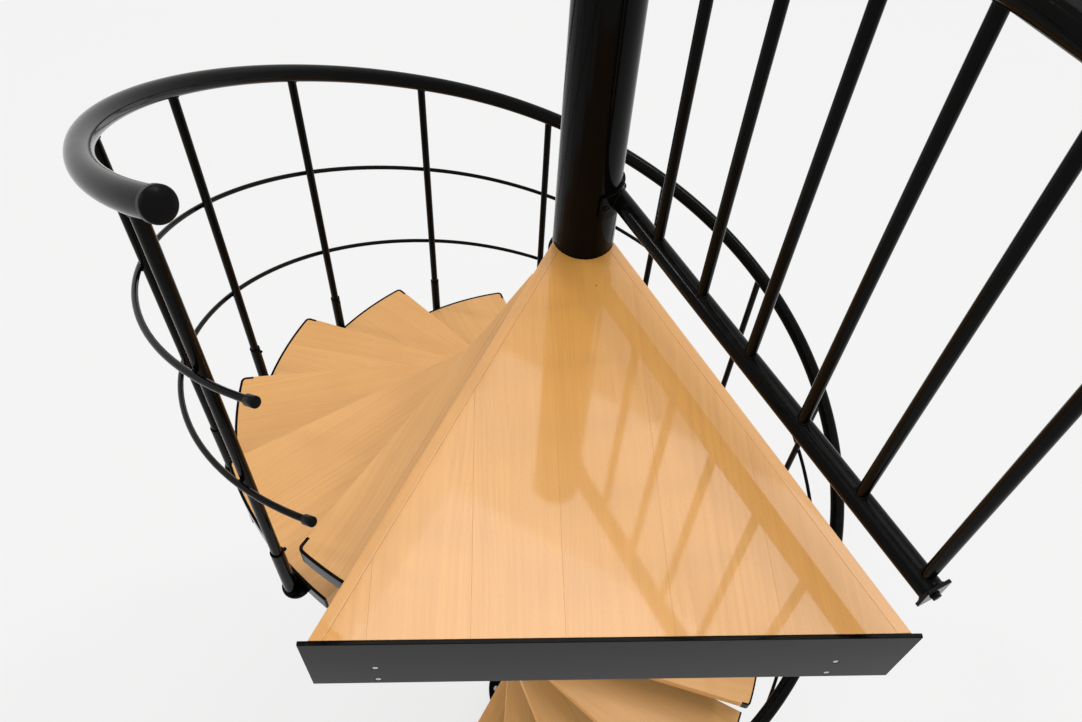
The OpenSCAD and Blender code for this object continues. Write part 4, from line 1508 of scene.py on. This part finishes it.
class STAIR_OT_guard_bars(Operator):
    """Builds the guard's balusters and the weld round each end of them."""

    bl_idname = "stair.guard_bars"
    bl_label = "Guard balusters"

    def execute(self, context):
        g = context.scene.guard_sizes
        radius = context.scene.railing_sizes.baluster
        ends = (g.low_height + g.low_radius * INTO_RAIL, g.top_height - g.top_radius * INTO_RAIL)
        bars, welds = Shell(), Shell()
        for i in range(g.bars):
            here = guard_place() @ shift(g.length - g.bar_end - i * g.bar_pitch, 0, 0)
            bars.tube([here @ shift(0, 0, z) for z in ends], radius, BAR_SIDES)
            for (_, rail, height), up in zip(guard_rails(), (1, -1)):
                path = [Vector((radius * cos(t), radius * sin(t),
                                height + up * sqrt(rail ** 2 - (radius * sin(t)) ** 2)))
                        for t in turns(BAR_SIDES)]
                welds.bead([here @ point for point in path], WELD, closed=True)
        bars.object("guard_baluster_bars", PAINTED, ["guard_balusters"])
        welds.object("guard_baluster_welds", PAINTED, crease=80)
        return {"FINISHED"}


class STAIR_OT_saddles(Operator):
    """Builds the curved plates that join the guard to the pole, and their screws."""

    bl_idname = "stair.saddles"
    bl_label = "Saddle plates"

    def execute(self, context):
        g = context.scene.guard_sizes
        inner = context.scene.pole_sizes.radius + FIT
        outer = inner + g.saddle
        place = guard_turned() @ spin(asin(g.offset / outer), "Z")
        plates, screws = Shell(), Shell()
        for _, _, height in guard_rails():
            rings = []
            for i in range(-24, 25):
                a = g.saddle_half_turn * (i / 24)
                half = self.half_height(g, (g.saddle_half_turn - abs(a)) * outer)
                section = [(inner, GUARD_EDGE - half), (inner + GUARD_EDGE, -half),
                           (outer - GUARD_EDGE, -half), (outer, GUARD_EDGE - half),
                           (outer, half - GUARD_EDGE), (outer - GUARD_EDGE, half),
                           (inner + GUARD_EDGE, half), (inner, half - GUARD_EDGE)]
                rings.append([(r * cos(a), r * sin(a), height + z) for r, z in section])
            plates.rings(rings, place=place)
            for side in (-1, 1):
                out = (place @ spin(side * g.screw_turn, "Z") @ shift(outer, 0, height)
                       @ spin(pi / 2, "Y"))
                screw(screws, out, g.screw_head, g.screw_height)
        plates.object("guard_saddle_plates", PAINTED, ["guard_saddles"], even=True)
        screws.object("guard_saddle_screws", PAINTED)
        return {"FINISHED"}

    def half_height(self, g, from_end):
        """Half the plate's height, less near its rounded corners."""
        if from_end >= SADDLE_CORNER:
            return g.saddle_height / 2
        cut = SADDLE_CORNER - sqrt(SADDLE_CORNER ** 2 - (SADDLE_CORNER - from_end) ** 2)
        return g.saddle_height / 2 - cut


class STAIR_OT_end_plates(Operator):
    """Builds the flat plates at the guard's far end, each with its bolt."""

    bl_idname = "stair.end_plates"
    bl_label = "Guard end plates"

    def execute(self, context):
        g = context.scene.guard_sizes
        plates, bolts = Shell(), Shell()
        for _, radius, height in guard_rails():
            bend = 0.004
            to_bend = radius + g.end_rim - bend
            outline = []
            for i, (x, y) in enumerate(((1, 1), (-1, 1), (-1, -1), (1, -1))):
                outline += arc((x * to_bend, y * to_bend), bend, pi / 2 * i, pi / 2 * (i + 1),
                               radians(18))
            out = guard_place() @ shift(g.length - g.end_plate, 0, height) @ spin(pi / 2, "Y")
            plates.plate(outline, 0.0, g.end_plate, GUARD_EDGE, holes=[circle(g.end_hole, 28)],
                         place=out)
            bolt(bolts, out @ shift(0, 0, g.end_plate), g.end_hole - END_BOLT_PLAY, g.end_plate,
                 stub=0.0)
        plates.object("guard_end_plates_flat", PAINTED, ["guard_end_plates"], even=True)
        bolts.object("guard_end_bolts", PAINTED)
        return {"FINISHED"}


# The camera stands on the upper floor and looks down over the landing
CAMERA_PLACE = (-0.19606, -1.44353, LANDING_TOP + 1.44789)
CAMERA_YAW = 0.0851
CAMERA_DOWN = 0.9180
CAMERA_ROLL = -0.0704
IMAGE_WIDTH = 1082
FOCAL_PIXELS = 932.86
SENSOR_WIDTH = 36.0

# A wide floor just below the base plate, and how far it and the backdrop go to white
FLOOR_RADIUS = 40.0
FLOOR_DROP = 0.0005
FLOOR_LIFT = 0.70
BACKDROP_WHITE = 0.89
WHITE = (1, 1, 1, 1)

# Soft boxes: name, setting of their power, size and place. They shine on the landing.
BOXES = (
    ("window_box", "window", (4.4, 3.4), (0.9, 1.0, 8.4)),
    ("strip_box", "strip", (3.6, 1.6), (0.6, 0.5, 8.0)),
)
BOX_TARGET = (0.1, -0.3, 3.0)

# Far lights: name, setting of their strength, width in degrees, and where they come from
SUNS = (
    ("side_light", "side", 40.0, (-6.0, -3.0, 9.0)),
    ("back_light", "back", 60.0, (5.0, 6.0, 7.0)),
    ("left_glint", "glint", 7.0, (-7.0, 2.0, 7.0)),
    ("right_glint", "glint", 7.0, (6.0, 1.0, 9.0)),
)
SUN_TARGET = (0, 0, 1.8)


class STAIR_OT_stage(Operator):
    """Sets up the camera, the plain floor, the sky and the soft lights."""

    bl_idname = "stair.stage"
    bl_label = "Stage"

    def execute(self, context):
        self.camera(context)
        self.floor(context)
        self.sky(context)
        self.lamps(context)
        context.scene.view_settings.view_transform = "Standard"
        return {"FINISHED"}

    def camera(self, context):
        data = bpy.data.cameras.new("floor_camera")
        data.sensor_fit = "HORIZONTAL"
        data.sensor_width = SENSOR_WIDTH
        data.lens = FOCAL_PIXELS / IMAGE_WIDTH * SENSOR_WIDTH
        camera = bpy.data.objects.new("floor_camera", data)
        ahead = Vector((sin(CAMERA_YAW) * cos(CAMERA_DOWN), cos(CAMERA_YAW) * cos(CAMERA_DOWN),
                        -sin(CAMERA_DOWN)))
        level = Vector((cos(CAMERA_YAW), -sin(CAMERA_YAW), 0.0))
        below = ahead.cross(level)
        right = cos(CAMERA_ROLL) * level + sin(CAMERA_ROLL) * below
        up = sin(CAMERA_ROLL) * level - cos(CAMERA_ROLL) * below
        turned = Matrix((right, up, -ahead)).transposed().to_4x4()
        camera.matrix_world = shift(*CAMERA_PLACE) @ turned
        context.scene.collection.objects.link(camera)
        context.scene.camera = camera

    def floor(self, context):
        """A plain floor whose lit colour is lifted for the camera and keeps the shadow."""
        f = Finish("plain_floor")
        paint = (*context.scene.stair_finishes.floor, 1.0)
        matt = f.node("ShaderNodeBsdfPrincipled", None, {"Base Color": paint, "Roughness": 0.9})
        bright = f.node("ShaderNodeEmission", None, {"Color": WHITE, "Strength": 1.0})
        both = f.node("ShaderNodeMixShader", None,
                      {0: self.seen(f) * FLOOR_LIFT, 1: matt, 2: bright})
        slab = bmesh.new()
        slab.faces.new([slab.verts.new((x, y, -FLOOR_DROP)) for x, y in circle(FLOOR_RADIUS, 64)])
        data = bpy.data.meshes.new("floor")
        slab.to_mesh(data)
        slab.free()
        data.materials.append(f.close(both))
        floor = bpy.data.objects.new("floor", data)
        context.scene.collection.objects.link(floor)

    def seen(self, f):
        """1 for rays from the camera, from mirrors and through glass."""
        rays = [f.node("ShaderNodeLightPath", None, None, output=name)
                for name in ("Is Camera Ray", "Is Glossy Ray", "Is Transmission Ray")]
        return (rays[0] + rays[1] + rays[2]).held()

    def sky(self, context):
        world = bpy.data.worlds.new("studio_sky")
        context.scene.world = world
        f = Finish("studio_sky", world)
        light = f.node("ShaderNodeBackground", None,
                       {"Color": WHITE, "Strength": context.scene.studio.sky})
        white = f.node("ShaderNodeBackground", None, {"Color": WHITE, "Strength": BACKDROP_WHITE})
        both = f.node("ShaderNodeMixShader", None, {0: self.seen(f), 1: light, 2: white})
        f.close(both, "ShaderNodeOutputWorld")

    def lamps(self, context):
        studio = context.scene.studio
        for name, setting, size, place in BOXES:
            box = bpy.data.lights.new(name, "AREA")
            box.shape = "RECTANGLE"
            box.size, box.size_y = size
            box.energy = getattr(studio, setting)
            self.hang(context, box, place, BOX_TARGET)
        for name, setting, width, place in SUNS:
            sun = bpy.data.lights.new(name, "SUN")
            sun.energy = getattr(studio, setting)
            sun.angle = radians(width)
            self.hang(context, sun, place, SUN_TARGET)

    def hang(self, context, data, place, target):
        lamp = bpy.data.objects.new(data.name, data)
        lamp.location = place
        aim = Vector(target) - Vector(place)
        lamp.rotation_euler = aim.to_track_quat("-Z", "Y").to_euler()
        context.scene.collection.objects.link(lamp)


PIECES = (
    STAIR_OT_pole, STAIR_OT_base, STAIR_OT_trays, STAIR_OT_tray_screws, STAIR_OT_boards,
    STAIR_OT_landing_frame, STAIR_OT_landing_deck, STAIR_OT_landing_strips,
    STAIR_OT_landing_plate, STAIR_OT_balusters, STAIR_OT_sleeves, STAIR_OT_handrail,
    STAIR_OT_mid_rails, STAIR_OT_guard_rails, STAIR_OT_guard_bars, STAIR_OT_saddles,
    STAIR_OT_end_plates, STAIR_OT_stage,
)

GROUPS = {
    "pole_sizes": PoleSizes,
    "tread_sizes": TreadSizes,
    "landing_sizes": LandingSizes,
    "railing_sizes": RailingSizes,
    "guard_sizes": GuardSizes,
    "stair_finishes": Finishes,
    "studio": StudioSettings,
}


class STAIR_PT_pieces(Panel):
    """Lists the staircase's pieces in the sidebar."""

    bl_idname = "STAIR_PT_pieces"
    bl_label = "Staircase"
    bl_space_type = "VIEW_3D"
    bl_region_type = "UI"
    bl_category = "Staircase"

    def draw(self, context):
        for piece in PIECES:
            self.layout.operator(piece.bl_idname)
        for group, kind in GROUPS.items():
            box = self.layout.box()
            for name in kind.__annotations__:
                box.prop(getattr(context.scene, group), name)


def register():
    for kind in (*GROUPS.values(), *PIECES, STAIR_PT_pieces):
        bpy.utils.register_class(kind)
    for name, kind in GROUPS.items():
        setattr(bpy.types.Scene, name, PointerProperty(type=kind))


def unregister():
    for name in GROUPS:
        delattr(bpy.types.Scene, name)
    for kind in reversed((*GROUPS.values(), *PIECES, STAIR_PT_pieces)):
        bpy.utils.unregister_class(kind)


def main():
    register()
    for piece in PIECES:
        group, name = piece.bl_idname.split(".")
        getattr(getattr(bpy.ops, group), name)()


if __name__ == "__main__":
    main()
